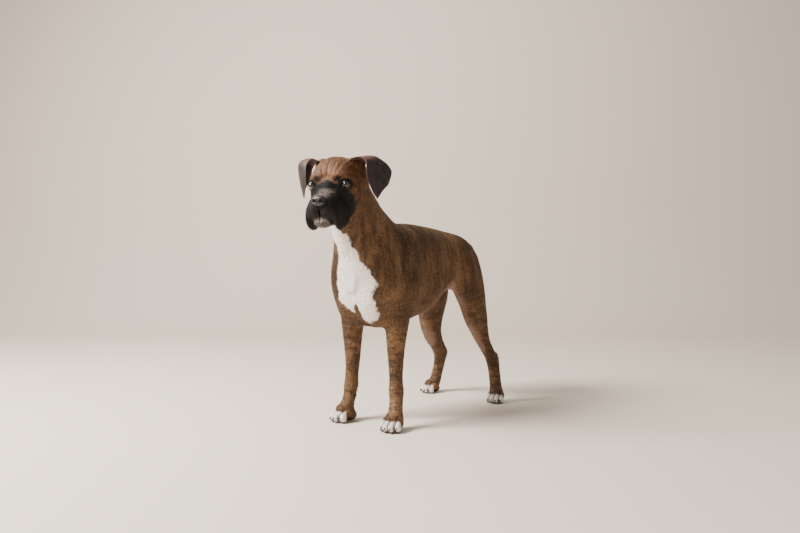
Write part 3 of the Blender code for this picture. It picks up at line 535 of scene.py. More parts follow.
def add_object(name, mesh, material=None):
    """An object in the scene, unturned at the origin."""
    obj = bpy.data.objects.new(name, mesh)
    bpy.context.scene.collection.objects.link(obj)
    if material is not None:
        mesh.materials.append(material)
    return obj


def read_points(mesh):
    """A mesh's points as an array."""
    points = np.empty(len(mesh.vertices) * 3, np.float32)
    mesh.vertices.foreach_get("co", points)
    return points.reshape(-1, 3).astype(float)


def set_floats(mesh, name, values):
    """One number for each point, as an attribute."""
    mesh.attributes.new(name, "FLOAT", "POINT").data.foreach_set("value", np.asarray(values, np.float32))


def set_vectors(mesh, name, values):
    """One vector for each point, as an attribute."""
    data = mesh.attributes.new(name, "FLOAT_VECTOR", "POINT").data
    data.foreach_set("vector", np.asarray(values, np.float32).ravel())


def grid_faces(rows, columns, wrap=False):
    """Quads over a grid of rows by columns, the last column joined to the first if wrap."""
    r = np.arange(rows - 1)[:, None]
    c = np.arange(columns if wrap else columns - 1)[None, :]
    nxt = (c + 1) % columns
    quad = [r * columns + c, r * columns + nxt, (r + 1) * columns + nxt, (r + 1) * columns + c]
    return np.stack([q + 0 * (r + c) for q in quad], axis=-1).reshape(-1, 4)


def revolve(profile, sides):
    """A profile of (radius, along) rows turned about the -Y axis."""
    angle = np.linspace(0, 2 * np.pi, sides, endpoint=False)
    radius, along = np.asarray(profile, float).T
    x = radius[:, None] * np.cos(angle)
    z = radius[:, None] * np.sin(angle)
    y = -along[:, None] + 0 * x
    return np.stack([x, y, z], axis=-1).reshape(-1, 3), grid_faces(len(radius), sides, wrap=True)


def sweep(path, radii, sides):
    """A round profile carried along a path of points."""
    path = np.asarray(path, float)
    tangent = np.gradient(path, axis=0)
    tangent /= np.linalg.norm(tangent, axis=1)[:, None]
    side = np.cross(tangent, (0.13, 0.97, 0.21))
    side /= np.linalg.norm(side, axis=1)[:, None]
    other = np.cross(tangent, side)
    angle = np.linspace(0, 2 * np.pi, sides, endpoint=False)
    ring = side[:, None] * np.cos(angle)[None, :, None] + other[:, None] * np.sin(angle)[None, :, None]
    points = path[:, None] + ring * np.asarray(radii, float)[:, None, None]
    return points.reshape(-1, 3), grid_faces(len(path), sides, wrap=True)


def moved(points, matrix):
    """Points carried by a matrix: R p + t."""
    m = np.array(matrix)
    return points @ m[:3, :3].T + m[:3, 3]


# ---------------------------------------------------------------- markings
def near(points, places, radii):
    """How deep points lie in the nearest of some balls: 1 at a centre, 0 at its edge, negative outside."""
    best = np.full(len(points), -9.0)
    for place, radius in zip(places, radii):
        scaled = (points - np.asarray(place)) / np.asarray(radius)
        best = np.maximum(best, 1.0 - np.linalg.norm(scaled, axis=1))
    return best


def near_pair(points, place, radius):
    """near() for a ball and its mirror image in x."""
    x, y, z = place
    return near(points, [(x, y, z), (-x, y, z)], [radius] * 2)


def markings(points, normals):
    """Smooth fields that the coat's colours are read from, in the dog's own axes:
    white, black face marking (with painted shade in the brow furrow and under the brows), greyish chin with
    a painted highlight on the muzzle's bridge, tan brow, bare belly, toe, pad, painted shade between the
    toes, and the grain that the stripes follow."""
    x, y, z = points.T
    p = head_points(points)
    hx, hy, hz = p.T
    heights = [0.29, 0.31, 0.33, 0.36, 0.39, 0.415, 0.45, 0.478, 0.51, 0.541, 0.58, 0.62]
    width = np.interp(z, heights, [6, 20, 44, 60, 68, 66, 46, 36, 31, 29, 30, 34])
    centre = np.interp(z, heights, [42, 40, 30, 14, 8, 8, 8, 9, -2, -18, -16, -8]) / 1000
    ahead = ramp(-y - np.interp(z, [0.28, 0.45, 0.60], [0.15, 0.165, 0.20]), 0.0, 0.02)
    wavy = 0.006 * np.sin(z * 61 + x * 18) + 0.004 * np.sin(z * 143 + 1.3)
    inside = (width / 1000 + wavy - np.abs(x - centre)) / 0.03
    white = np.where(ahead > 0.01, np.clip(inside, -1, 1) * ahead - (1 - ahead), -1.0)
    white = np.where(hy < 0.055, -1.0, white - 2.0 * ramp(z, 0.560, 0.585))
    wedge_places = [(0.012, -0.255, 0.318), (-0.056, -0.248, 0.466)]
    wedge = near(points, wedge_places, [(0.012, 0.06, 0.034), (0.028, 0.06, 0.045)])
    white = np.minimum(white, -wedge * 1.2 + 0.15)
    chin = near(p, [(0.0, -0.058, -0.096)], [(0.026, 0.026, 0.022)])
    tip = ramp(-hy, -0.030, 0.010)
    mask = ramp(0.014 * bump(hx, 0.020) - hz, -0.022, 0.018) * tip
    mask = np.maximum(mask * 2 - 1, near_pair(p, (0.047, 0.0, 0.0), (0.022, 0.028, 0.0175)) * 2)
    mask = np.maximum(mask, near_pair(p, (0.036, 0.012, -0.050), (0.03, 0.05, 0.05)) * 1.4)
    # painted shade: a dark line up the middle of the forehead, in the furrow between the brows
    mask = np.maximum(mask, 0.60 * bump(hx, 0.0022) * ramp(hz, 0.01, 0.03) * (hy < 0.06) - 0.5)
    # painted shade: dark spots above the eyes, under the brows' overhang
    mask = np.maximum(mask, near_pair(p, (0.028, -0.002, 0.017), (0.012, 0.018, 0.010)) * 0.5)
    # painted highlight: a greyish patch on the muzzle's bridge above the nose, where its top faces the
    # light; the greyish chin below is the coat's own colour
    grey = ramp(-hy, 0.0, 0.026) * ramp(hz, -0.036, -0.024) * (1 - ramp(hz, -0.014, -0.004))
    grey = 0.8 * grey * bump(np.abs(hx) - 0.004, 0.020) + 0.9 * ramp(chin, 0.0, 0.25)
    tan = ramp(hz, 0.010, 0.030) * (1 - ramp(hy, 0.045, 0.10)) * (hz < 0.09) * (z > 0.55)
    cheek = 0.30 * ramp(np.abs(hx), 0.035, 0.055) * (1 - ramp(hz, 0.0, 0.03)) * ramp(hz, -0.06, -0.02)
    tan = np.maximum(tan, cheek * (z > 0.55))
    belly = ramp(y, 0.02, 0.10) * (1 - ramp(y, 0.25, 0.28)) * ramp(-normals[:, 2], 0.05, 0.75)
    inner = (1 - ramp(y, 0.19, 0.25)) * ramp(z, 0.28, 0.34) * (1 - ramp(z, 0.38, 0.42))
    facing = ramp(-np.sign(x) * normals[:, 0], 0.2, 0.8)
    belly = np.maximum(belly, 0.8 * ramp(y, 0.12, 0.16) * inner * facing)
    pad = (z < 0.010) * ramp(-normals[:, 2], 0.25, 0.6)
    carpal = near_pair(points, (0.087, -0.146, 0.094), (0.011, 0.011, 0.011))
    pad = np.maximum(pad, ramp(carpal, 0.0, 0.25))
    # painted shade: dark lines in the creases between the toes, on the paws' fronts
    gap = np.ones(len(points))
    for px, py, size, turn in PAWS.values():
        c, s = math.cos(math.radians(turn)), math.sin(math.radians(turn))
        lx = (c * (x - px) + s * (y - py)) / size
        ly = (-s * (x - px) + c * (y - py)) / size
        close = (np.hypot(lx, ly) < 0.06) & (z < 0.045) & (ly < -0.004)
        line = sum(bump(lx - mid, 0.0017) for mid in (-0.0172, 0.0, 0.0172))
        gap = np.where(close, 1 - 0.95 * line, gap)
        toe = np.minimum(1.0 - z / (0.034 * size), (-ly - 0.014) / 0.012)
        white = np.where(np.hypot(lx, ly) < 0.06, np.maximum(white, toe), white)
    leg = 1 - ramp(z, 0.29, 0.36)
    trunk = np.stack([y * 62 + 14 * x, z * 9, x * 9], axis=1)
    limbs = np.stack([z * 95 + y * 8, y * 26, x * 26], axis=1)
    crown = np.stack([hx * 85, hz * 28, hy * 36], axis=1)
    top = ramp(z + 0.35 * (-y - 0.30), 0.58, 0.62)[:, None]
    grain = trunk * (1 - leg[:, None]) + limbs * leg[:, None]
    grain = grain * (1 - top) + crown * top
    hair = np.stack([y * 70, x * 620, z * 620], axis=1) * (1 - leg[:, None])
    hair += np.stack([z * 70, x * 620, y * 620], axis=1) * leg[:, None]
    return {
        "white": white,
        "mask": mask,
        "tan": tan,
        "grey": grey,
        "belly": belly,
        "pad": pad,
        "gap": gap,
        "shade": 0.5 + 0 * x,
    }, {"grain": grain, "hair": hair}


def hair_way(points, normals):
    """Which way the coat lies: back along the body, down the limbs, back from the nose over the head, always
    in the plane of the skin."""
    x, y, z = points.T
    back = np.array(head_matrix())[:3, 1]
    leg = (1 - ramp(z, 0.30, 0.42))[:, None]
    head = ramp(z + 0.35 * (-y - 0.30), 0.57, 0.63)[:, None]
    way = np.stack([0 * x, 0.86 + 0 * x, -0.45 - 0.2 * ramp(-y, 0.1, 0.3)], axis=1) * (1 - leg)
    way += np.array([0.0, 0.15, -1.0]) * leg
    way = way * (1 - head) + (back + np.array([0, 0, -0.12])) * head
    way = way - normals * np.sum(way * normals, axis=1)[:, None]
    return way / (np.linalg.norm(way, axis=1)[:, None] + 1e-9)


def store(mesh, floats, vectors, times=1):
    """Writes the marks as attributes of a mesh, each repeated for as many points as stand for it."""
    for name, values in floats.items():
        set_floats(mesh, name, np.repeat(values, times, axis=0))
    for name, values in vectors.items():
        set_vectors(mesh, name, np.repeat(values, times, axis=0))


# ---------------------------------------------------------------- materials
def new_material(name):
    """A material with nodes, its tree and its Principled surface."""
    material = bpy.data.materials.new(name)
    material.use_nodes = True
    return material, material.node_tree, material.node_tree.nodes["Principled BSDF"]


def linear(r, g, b):
    """sRGB numbers from 0 to 255 as linear light."""
    c = np.array([r, g, b]) / 255.0
    c = np.where(c <= 0.04045, c / 12.92, ((c + 0.055) / 1.055) ** 2.4)
    return (*c, 1.0)


class Nodes:
    """Short ways to add and join nodes in one tree."""

    def __init__(self, tree):
        """Works in one node tree."""
        self.tree = tree

    def add(self, kind, **settings):
        """A node of a kind with settings."""
        node = self.tree.nodes.new(kind)
        for key, value in settings.items():
            setattr(node, key, value)
        return node

    def join(self, out, into):
        """A link."""
        self.tree.links.new(out, into)

    def put(self, socket, value):
        """A link if the value is a socket, a constant if not."""
        if isinstance(value, bpy.types.NodeSocket):
            self.join(value, socket)
        else:
            socket.default_value = value

    def math(self, operation, a, b=0.0):
        """One operation on two values."""
        node = self.add("ShaderNodeMath", operation=operation)
        self.put(node.inputs[0], a)
        self.put(node.inputs[1], b)
        return node.outputs[0]

    def step(self, value, low, high):
        """Smooth rise from 0 at low to 1 at high."""
        node = self.add("ShaderNodeMapRange", interpolation_type="SMOOTHSTEP")
        self.put(node.inputs[0], value)
        self.put(node.inputs[1], low)
        self.put(node.inputs[2], high)
        return node.outputs[0]

    def mix(self, amount, a, b):
        """Color a at 0, b at 1."""
        node = self.add("ShaderNodeMix", data_type="RGBA")
        self.put(node.inputs[0], amount)
        self.put(node.inputs[6], a)
        self.put(node.inputs[7], b)
        return node.outputs[2]

    def noise(self, vector, scale, detail=2.0, rough=0.5):
        """Noise from 0 to 1 over a vector."""
        node = self.add("ShaderNodeTexNoise")
        self.join(vector, node.inputs["Vector"])
        node.inputs["Scale"].default_value = scale
        node.inputs["Detail"].default_value = detail
        node.inputs["Roughness"].default_value = rough
        return node.outputs["Fac"]

    def attribute(self, name, output="Fac"):
        """A mesh's own attribute."""
        return self.add("ShaderNodeAttribute", attribute_name=name).outputs[output]

    def place(self):
        """The object's own coordinates."""
        return self.add("ShaderNodeTexCoord").outputs["Object"]

    def bumps(self, surface, height, strength, distance, invert=False):
        """Bump from a height into the surface's normal."""
        node = self.add("ShaderNodeBump", invert=invert)
        node.inputs["Strength"].default_value = strength
        node.inputs["Distance"].default_value = distance
        self.join(height, node.inputs["Height"])
        self.join(node.outputs["Normal"], surface.inputs["Normal"])


def coat_group():
    """The coat's colours: warm brindle with dark upright stripes, tan brows, black face marking with painted
    shade in the brow furrow and under the brows, greyish chin, a greyish painted highlight on the muzzle's
    bridge, white breast and toes with painted shade between the toes, thin pink skin under the belly and
    black pads."""
    group = bpy.data.node_groups.new("Coat Colour", "ShaderNodeTree")
    for name in FLOATS:
        group.interface.new_socket(name, in_out="INPUT", socket_type="NodeSocketFloat")
    for name in VECTORS + ("Place",):
        group.interface.new_socket(name, in_out="INPUT", socket_type="NodeSocketVector")
    group.interface.new_socket("Color", in_out="OUTPUT", socket_type="NodeSocketColor")
    group.interface.new_socket("Roughness", in_out="OUTPUT", socket_type="NodeSocketFloat")
    group.interface.new_socket("Height", in_out="OUTPUT", socket_type="NodeSocketFloat")
    n = Nodes(group)
    given = n.add("NodeGroupInput").outputs
    result = n.add("NodeGroupOutput").inputs
    grain, place = given["Grain"], given["Place"]
    broad = n.noise(grain, 0.50, 3.0, 0.55)
    fine = n.noise(grain, 1.7, 3.0, 0.6)
    fleck = n.noise(place, 260.0, 2.0, 0.6)
    ragged = n.math("MULTIPLY", n.math("SUBTRACT", fleck, 0.5), 0.42)
    stripe = n.math("ADD", n.math("MULTIPLY", broad, 0.40), n.math("MULTIPLY", fine, 0.60))
    stripe = n.step(n.math("ADD", stripe, ragged), 0.40, 0.60)
    tone = n.noise(place, 9.0, 2.0)
    light = n.mix(n.step(tone, 0.35, 0.65), linear(122, 90, 60), linear(150, 114, 80))
    dark = n.mix(n.step(tone, 0.35, 0.65), linear(46, 33, 26), linear(66, 46, 35))
    color = n.mix(n.math("MULTIPLY", stripe, 0.85), light, dark)
    brow = n.mix(n.math("MULTIPLY", stripe, 0.5), linear(140, 96, 66), linear(80, 52, 36))
    color = n.mix(n.math("MULTIPLY", given["Tan"], 0.8), color, brow)
    color = n.mix(n.math("MULTIPLY", n.step(given["Belly"], 0.2, 0.9), 0.75), color, linear(178, 142, 124))
    strand = n.noise(given["Hair"], 1.0, 3.0, 0.6)
    speckle = n.math("SUBTRACT", 1.0, n.step(strand, 0.30, 0.70))
    color = n.mix(n.math("MULTIPLY", speckle, 0.50), color, linear(24, 17, 13))
    color = n.mix(n.math("MULTIPLY", n.step(given["Shade"], 0.55, 0.95), 0.55), color, linear(34, 25, 20))
    color = n.mix(n.math("MULTIPLY", n.step(given["Shade"], 0.42, 0.05), 0.40), color, linear(160, 122, 84))
    edge = n.math("MULTIPLY", n.math("SUBTRACT", n.noise(place, 120.0, 3.0, 0.65), 0.5), 1.1)
    wide = n.math("MULTIPLY", n.math("SUBTRACT", n.noise(place, 30.0, 2.0), 0.5), 0.9)
    # the black face marking, together with the painted shade in the brow furrow and under the brows
    mask = n.step(n.math("ADD", given["Mask"], n.math("MULTIPLY", edge, 0.6)), -0.15, 0.35)
    color = n.mix(mask, color, linear(16, 13, 12))
    # greyish chin hair, and the painted highlight on the muzzle's bridge
    color = n.mix(n.math("MULTIPLY", given["Grey"], n.step(edge, -0.3, 0.3)), color, linear(136, 124, 116))
    white = n.math("ADD", given["White"], n.math("MULTIPLY", edge, 0.5))
    white = n.math("ADD", white, n.math("MULTIPLY", wide, 0.25))
    white = n.step(white, -0.08, 0.16)
    chalk = n.mix(n.step(fleck, 0.3, 0.7), linear(226, 214, 204), linear(246, 240, 235))
    color = n.mix(white, color, chalk)
    # painted shade in the creases between the toes
    color = n.mix(n.math("SUBTRACT", 1.0, given["Gap"]), color, linear(48, 36, 30))
    color = n.mix(given["Pad"], color, linear(34, 28, 28))
    n.join(color, result["Color"])
    rough = n.math("ADD", n.math("MULTIPLY", strand, 0.20), 0.50)
    n.join(rough, result["Roughness"])
    n.join(strand, result["Height"])
    return group


def coat_material(name, group, strength):
    """A Principled surface fed by the coat's colours, with the hairs as bump of the given strength."""
    material, tree, surface = new_material(name)
    n = Nodes(tree)
    coat = n.add("ShaderNodeGroup", node_tree=group)
    for sockets, output in ((FLOATS, "Fac"), (VECTORS, "Vector")):
        for socket in sockets:
            n.join(n.attribute(socket.lower(), output), coat.inputs[socket])
    n.join(n.place(), coat.inputs["Place"])
    n.join(coat.outputs["Color"], surface.inputs["Base Color"])
    n.join(coat.outputs["Roughness"], surface.inputs["Roughness"])
    if strength > 0:
        n.bumps(surface, coat.outputs["Height"], strength, 0.0008)
    surface.inputs["Specular IOR Level"].default_value = 0.24
    return material


def ear_material():
    """Velvety dark brown, redder at the top fold, lighter and pinker on the inside and the thin edge."""
    material, tree, surface = new_material("Ear")
    n = Nodes(tree)
    place = n.place()
    blotch = n.noise(place, 60.0, 3.0, 0.6)
    color = n.mix(n.step(blotch, 0.35, 0.65), linear(27, 20, 18), linear(50, 37, 31))
    color = n.mix(n.attribute("top"), color, linear(92, 60, 44))
    color = n.mix(n.attribute("inner"), color, linear(120, 88, 76))
    n.join(color, surface.inputs["Base Color"])
    surface.inputs["Roughness"].default_value = 0.55
    n.bumps(surface, n.noise(place, 900.0, 2.0), 0.35, 0.0008)
    return material


def eye_material():
    """Black pupil, deep brown iris with a darker rim, a little dull white beyond it, all wet."""
    material, tree, surface = new_material("Eye")
    n = Nodes(tree)
    off = n.attribute("off")
    streak = n.noise(n.attribute("spoke", "Vector"), 14.0, 3.0)
    iris = n.mix(n.step(streak, 0.3, 0.7), linear(34, 18, 10), linear(62, 36, 20))
    iris = n.mix(n.step(off, 0.56, 0.66), iris, linear(16, 9, 6))
    color = n.mix(n.step(off, 0.27, 0.31), (0.002, 0.002, 0.002, 1.0), iris)
    color = n.mix(n.step(off, 0.70, 0.76), color, linear(150, 130, 118))
    n.join(color, surface.inputs["Base Color"])
    surface.inputs["Roughness"].default_value = 0.06
    surface.inputs["Coat Weight"].default_value = 1.0
    surface.inputs["Coat Roughness"].default_value = 0.02
    return material


def nose_material():
    """Black damp leather with small rounded pebbles, and painted shade that darkens the nostrils."""
    material, tree, surface = new_material("Nose")
    n = Nodes(tree)
    cells = n.add("ShaderNodeTexVoronoi")
    n.join(n.place(), cells.inputs["Vector"])
    cells.inputs["Scale"].default_value = 900.0
    n.bumps(surface, cells.outputs["Distance"], 0.45, 0.0005, invert=True)
    # painted shade: darker where the dark attribute marks the nostrils
    n.join(n.mix(n.attribute("dark"), linear(44, 38, 39), linear(6, 4, 4)), surface.inputs["Base Color"])
    surface.inputs["Roughness"].default_value = 0.34
    return material


def plain_material(name, color, roughness, grain=0.0):
    """One color and roughness, with fine bump if grain is more than 0."""
    material, tree, surface = new_material(name)
    surface.inputs["Base Color"].default_value = color
    surface.inputs["Roughness"].default_value = roughness
    if grain:
        n = Nodes(tree)
        n.bumps(surface, n.noise(n.place(), 700.0), grain, 0.0004)
    return material


# ---------------------------------------------------------------- skin
def make_skin(material):
    """The field's level at the coat's depth, finer on the head and paws, then thinned elsewhere."""
    axes = [
        spaced(BOX[1][0], [(BOX[0][0], 0.0020)]),
        spaced(BOX[1][1], [(BOX[0][1], 0.0013), (-0.27, 0.0024)]),
        spaced(BOX[1][2], [(BOX[0][2], 0.0018), (0.05, 0.0028), (0.53, 0.0014)]),
    ]
    field = Field(axes)
    add_trunk(field)
    add_neck(field)
    add_tail(field)
    for side in (1, -1):
        add_foreleg(field, side)
        add_hindleg(field, side)
    for name in PAWS:
        add_paw(field, name)
    add_head(field)
    points, faces = field.surface(-COAT)
    points[:, 2] = np.maximum(points[:, 2], FLOOR_GAP)
    points = relief(points, vertex_normals(points, faces))
    points[:, 2] = np.maximum(points[:, 2], FLOOR_GAP)
    obj = add_object("skin", mesh_from("skin", points, faces))
    smooth = obj.modifiers.new("Smooth", "SMOOTH")
    smooth.factor = 0.5
    smooth.iterations = 2
    head = np.linalg.norm(points - np.array(HEAD_AT), axis=1) < 0.14
    paws = points[:, 2] < 0.05
    group = obj.vertex_groups.new(name="plain")
    group.add(np.flatnonzero(~(head | paws)).tolist(), 1.0, "REPLACE")
    group.add(np.flatnonzero(head | paws).tolist(), 0.45, "REPLACE")
    thin = obj.modifiers.new("Thin", "DECIMATE")
    thin.vertex_group = "plain"
    thin.ratio = min(1.0, SKIN_TRIANGLES / (2.0 * len(faces)))
    graph = bpy.context.evaluated_depsgraph_get()
    mesh = bpy.data.meshes.new_from_object(obj.evaluated_get(graph))
    bpy.data.objects.remove(obj, do_unlink=True)
    mesh.name = "skin"
    points = read_points(mesh)
    normals = np.empty(len(points) * 3, np.float32)
    mesh.vertices.foreach_get("normal", normals)
    normals = normals.reshape(-1, 3).astype(float)
    for layer in list(mesh.attributes):
        if layer.name not in ("position", ".edge_verts", ".corner_vert", ".corner_edge", "sharp_face"):
            mesh.attributes.remove(layer)
    store(mesh, *markings(points, normals))
    mesh.polygons.foreach_set("use_smooth", np.full(len(mesh.polygons), True))
    obj = add_object("skin", mesh, material)
    return obj, points, normals


def skin_samples(mesh, points, normals, count, weight):
    """Random places on a mesh, shared out by each triangle's area times the weight: points, normals."""
    mesh.calc_loop_triangles()
    tri = np.empty(len(mesh.loop_triangles) * 3, np.int32)
    mesh.loop_triangles.foreach_get("vertices", tri)
    tri = tri.reshape(-1, 3)
    a, b, c = (points[tri[:, k]] for k in range(3))
    area = np.linalg.norm(np.cross(b - a, c - a), axis=1) / 2
    share = area * weight((a + b + c) / 3)
    pick = np.searchsorted(np.cumsum(share) / share.sum(), (np.arange(count) + RNG.random(count)) / count)
    pick = np.minimum(pick, len(tri) - 1)
    u = RNG.random((count, 2))
    flip = u.sum(axis=1) > 1
    u[flip] = 1 - u[flip]
    w = np.stack([1 - u.sum(axis=1), u[:, 0], u[:, 1]], axis=1)[:, :, None]
    place = (points[tri[pick]] * w).sum(axis=1)
    normal = (normals[tri[pick]] * w).sum(axis=1)
    return place, normal / np.linalg.norm(normal, axis=1)[:, None]


def unwrap(points, normals):
    """A place on a flat chart for each point: the body is parted into head, trunk, tail and limbs, and each
    part is laid out from six sides, every side in its own cell of the chart."""
    x, y, z = points.T
    head = z + 0.35 * (-y - 0.30) > 0.60
    fore = (z < 0.30) & (y < 0.0) & ~head
    hind = (z < 0.36) & (y >= 0.12) & ~head
    part = np.where(head, 0, np.where(fore, np.where(x > 0, 2, 3), np.where(hind, np.where(x > 0, 4, 5), 1)))
    axis = np.argmax(np.abs(normals), axis=1)
    sign = np.take_along_axis(normals, axis[:, None], axis=1)[:, 0] > 0
    face = axis * 2 + sign
    first = np.where(axis == 0, y, x)
    second = np.where(axis == 2, y, z)
    u = np.zeros(len(points))
    v = np.zeros(len(points))
    for p in range(6):
        for f in range(6):
            here = (part == p) & (face == f)
            if not here.any():
                continue
            a, b = first[here], second[here]
            u[here] = (f + 0.06 + 0.88 * (a - a.min()) / (np.ptp(a) + 1e-6)) / 6
            v[here] = (p + 0.06 + 0.88 * (b - b.min()) / (np.ptp(b) + 1e-6)) / 6
    return u, v


def make_tufts(name, roots, normals, ways, lengths, widths, charts, material, marks):
    """Tufts of short hair: each a three-sided spike in two lengths that leaves the skin, bends over and lies
    along the coat. Ring k of a tuft is root + way * length * s + normal * length * h(s)."""
    count = len(roots)
    side = np.cross(normals, ways)
    corner = np.array([[1.0, 0.0], [-0.5, 0.5], [-0.5, -0.5]])
    rings = []
    for along, rise, wide in ((0.0, -0.10, 1.0), (0.5, 0.09, 0.8)):
        middle = roots + ways * (lengths * along)[:, None] + normals * (lengths * rise)[:, None]
        for up, over in corner:
            across = side * (widths * over * wide)[:, None] * 2
            rings.append(middle + across + normals * (widths * up * wide * 0.35)[:, None])
    rings.append(roots + ways * lengths[:, None] + normals * (lengths * 0.10)[:, None])
    points = np.stack(rings, axis=1).reshape(-1, 3)
    local = []
    for k in range(3):
        j = (k + 1) % 3
        local += [(k, j, 3 + j), (k, 3 + j, 3 + k), (3 + k, 3 + j, 6)]
    faces = (np.arange(count)[:, None, None] * 7 + np.array(local)[None]).reshape(-1, 3)
    points[:, 2] = np.maximum(points[:, 2], FLOOR_GAP)
    mesh = mesh_from(name, points, faces, check=False)
    store(mesh, *marks, times=7)
    u, v = charts
    spread = 0.0015 * np.array([[-1, -1], [1, -1], [0, -1], [-1, 0], [1, 0], [0, 0], [0, 1]])
    uv = np.stack([u, v], axis=1)[:, None] + spread[None]
    layer = mesh.uv_layers.new(name="OFBake")
    corners = uv.reshape(-1, 2)[faces.ravel()]
    layer.data.foreach_set("uv", corners.astype(np.float32).ravel())
    return add_object(name, mesh, material)


def make_coat(skin, points, normals, material):
    """Short tufts all over the body, longest on the trunk and limbs, shorter near the head and on the white
    parts, shortest on the face and feet.
    """

    def weight(p):
        """Twice as many tufts for their area on the head and feet."""
        head = np.linalg.norm(p - np.array(HEAD_AT), axis=1) < 0.13
        low = p[:, 2] < 0.06
        return np.where(head, 2.2, np.where(low, 2.0, 1.0))

    roots, normal = skin_samples(skin.data, points, normals, TUFTS, weight)
    h = head_points(roots)
    keep = roots[:, 2] > 0.004
    for side in (1, -1):
        eye = (h - np.array([side * 0.047, -0.001, 0.0])) / np.array([0.0150, 0.016, 0.0105])
        keep &= np.linalg.norm(eye, axis=1) > 1.0
    nose = (h - np.array([0.0, -0.064, -0.036])) / np.array([0.0215, 0.020, 0.0170])
    keep &= np.linalg.norm(nose, axis=1) > 1.0
    roots, normal, h = roots[keep], normal[keep], h[keep]
    way = hair_way(roots, normal)
    turn = RNG.normal(0.0, 0.16, len(roots))
    way = way * np.cos(turn)[:, None] + np.cross(normal, way) * np.sin(turn)[:, None]
    near_head = 1 - ramp(np.linalg.norm(roots - np.array(HEAD_AT), axis=1), 0.10, 0.16)
    feet = 1 - ramp(roots[:, 2], 0.05, 0.12)
    length = (0.0092 - 0.0045 * near_head - 0.0040 * feet) * RNG.uniform(0.8, 1.2, len(roots))
    face = ramp(-h[:, 1], -0.03, 0.02) * near_head
    length *= 1 - 0.30 * face
    width = 0.00055 - 0.00018 * np.maximum(near_head, feet)
    width = width * RNG.uniform(0.8, 1.2, len(roots))
    chart = unwrap(roots, normal)
    floats, vectors = markings(roots, normal)
    length *= 1 - 0.45 * ramp(floats["white"], -0.1, 0.2)
    floats["shade"] = RNG.random(len(roots))
    order = np.argsort(roots[:, 1], kind="stable")
    pieces = []
    for number, part in enumerate(np.array_split(order, COAT_PIECES), 1):
        marks = [{key: values[part] for key, values in table.items()} for table in (floats, vectors)]
        charts = (chart[0][part], chart[1][part])
        shape = (roots[part], normal[part], way[part], length[part], width[part])
        pieces.append(make_tufts(f"coat_{number}", *shape, charts, material, marks))
    return pieces


# ---------------------------------------------------------------- ears
# control points in the head's axes: down the flap from its root, each row from front to back
EAR_LEFT = [
    [(0.034, 0.050, 0.056), (0.038, 0.080, 0.052), (0.038, 0.104, 0.038)],
    [(0.062, 0.042, 0.069), (0.076, 0.080, 0.068), (0.080, 0.112, 0.050)],
    [(0.090, 0.036, 0.060), (0.114, 0.078, 0.062), (0.134, 0.112, 0.036)],
    [(0.096, 0.026, 0.026), (0.118, 0.060, 0.024), (0.136, 0.092, 0.000)],
    [(0.100, 0.027, -0.022), (0.117, 0.042, -0.040), (0.129, 0.062, -0.024)],
]
EAR_RIGHT = [
    [(-0.034, 0.050, 0.056), (-0.038, 0.080, 0.052), (-0.038, 0.104, 0.038)],
    [(-0.056, 0.038, 0.069), (-0.076, 0.072, 0.069), (-0.074, 0.108, 0.053)],
    [(-0.067, 0.022, 0.054), (-0.104, 0.062, 0.060), (-0.088, 0.110, 0.044)],
    [(-0.066, 0.012, 0.018), (-0.102, 0.050, 0.024), (-0.090, 0.094, 0.014)],
    [(-0.070, 0.018, -0.022), (-0.084, 0.032, -0.036), (-0.088, 0.046, -0.018)],
]


def spline_grid(net, rows, columns):
    """A net of control points made finer by Hermite curves, first down the rows, then across."""
    net = np.asarray(net, float)
    for count in (rows, columns):
        knots = np.linspace(0.0, 1.0, len(net))
        net = hermite(net, knots, np.linspace(0.0, 1.0, count)).transpose(1, 0, 2)
    return net


def make_ear(name, net, material, inside_first, inner_tone):
    """A flap over the net: at each place across, two leaves stand off the middle sheet by half the thickness
    times sqrt(1 - s^2), s from -1 at one edge to 1 at the other, so that the edge is thin and round."""
    rows, columns = 70, 40
    sheet = spline_grid(net, rows, columns)
    u = np.linspace(0.0, 1.0, rows)
    s = np.linspace(-1.0, 1.0, columns)
    spine = sheet[:, columns // 2][:, None, :]
    narrow = np.sqrt(np.clip(1.0 - np.clip((u - 0.78) / 0.2205, 0.0, 1.0) ** 2, 0.0, 1.0))
    sheet = spine + (sheet - spine) * narrow[:, None, None]
    down = np.gradient(sheet, axis=0)
    across = np.gradient(sheet, axis=1)
    normal = np.cross(across, down)
    normal /= np.linalg.norm(normal, axis=2)[:, :, None] + 1e-12
    normal = np.where(narrow[:, None, None] < 0.02, normal[-6:-5, columns // 2][:, None], normal)
    thick = 0.0018 * np.sqrt(np.clip(1 - s**2, 0, 1))[None, :] * np.sqrt(np.clip(1 - u**8, 0, 1))[:, None]
    wave = 0.0009 * np.sin(7 * s)[None, :] * ramp(u, 0.2, 0.5)[:, None] * (1 - ramp(u, 0.8, 1.0))[:, None]
    middle = sheet + normal * wave[:, :, None]
    outer = middle + normal * thick[:, :, None]
    inner = (middle - normal * thick[:, :, None])[:, ::-1][:, 1:-1]
    loop = np.concatenate([outer, inner], axis=1)
    points = moved(loop.reshape(-1, 3), head_matrix())
    faces = grid_faces(rows, loop.shape[1], wrap=True)
    mesh = mesh_from(name, points, faces)
    leaf = np.concatenate([np.zeros(columns), np.ones(columns - 2)])
    leaf = 1 - leaf if inside_first else leaf
    top = (1 - ramp(np.abs(u - 0.30), 0.06, 0.28))[:, None] * (1 - leaf)[None]
    set_floats(mesh, "top", np.clip(top, 0, 1).ravel())
    set_floats(mesh, "inner", (leaf[None] * inner_tone + 0 * u[:, None]).ravel())
    return add_object(name, mesh, material)


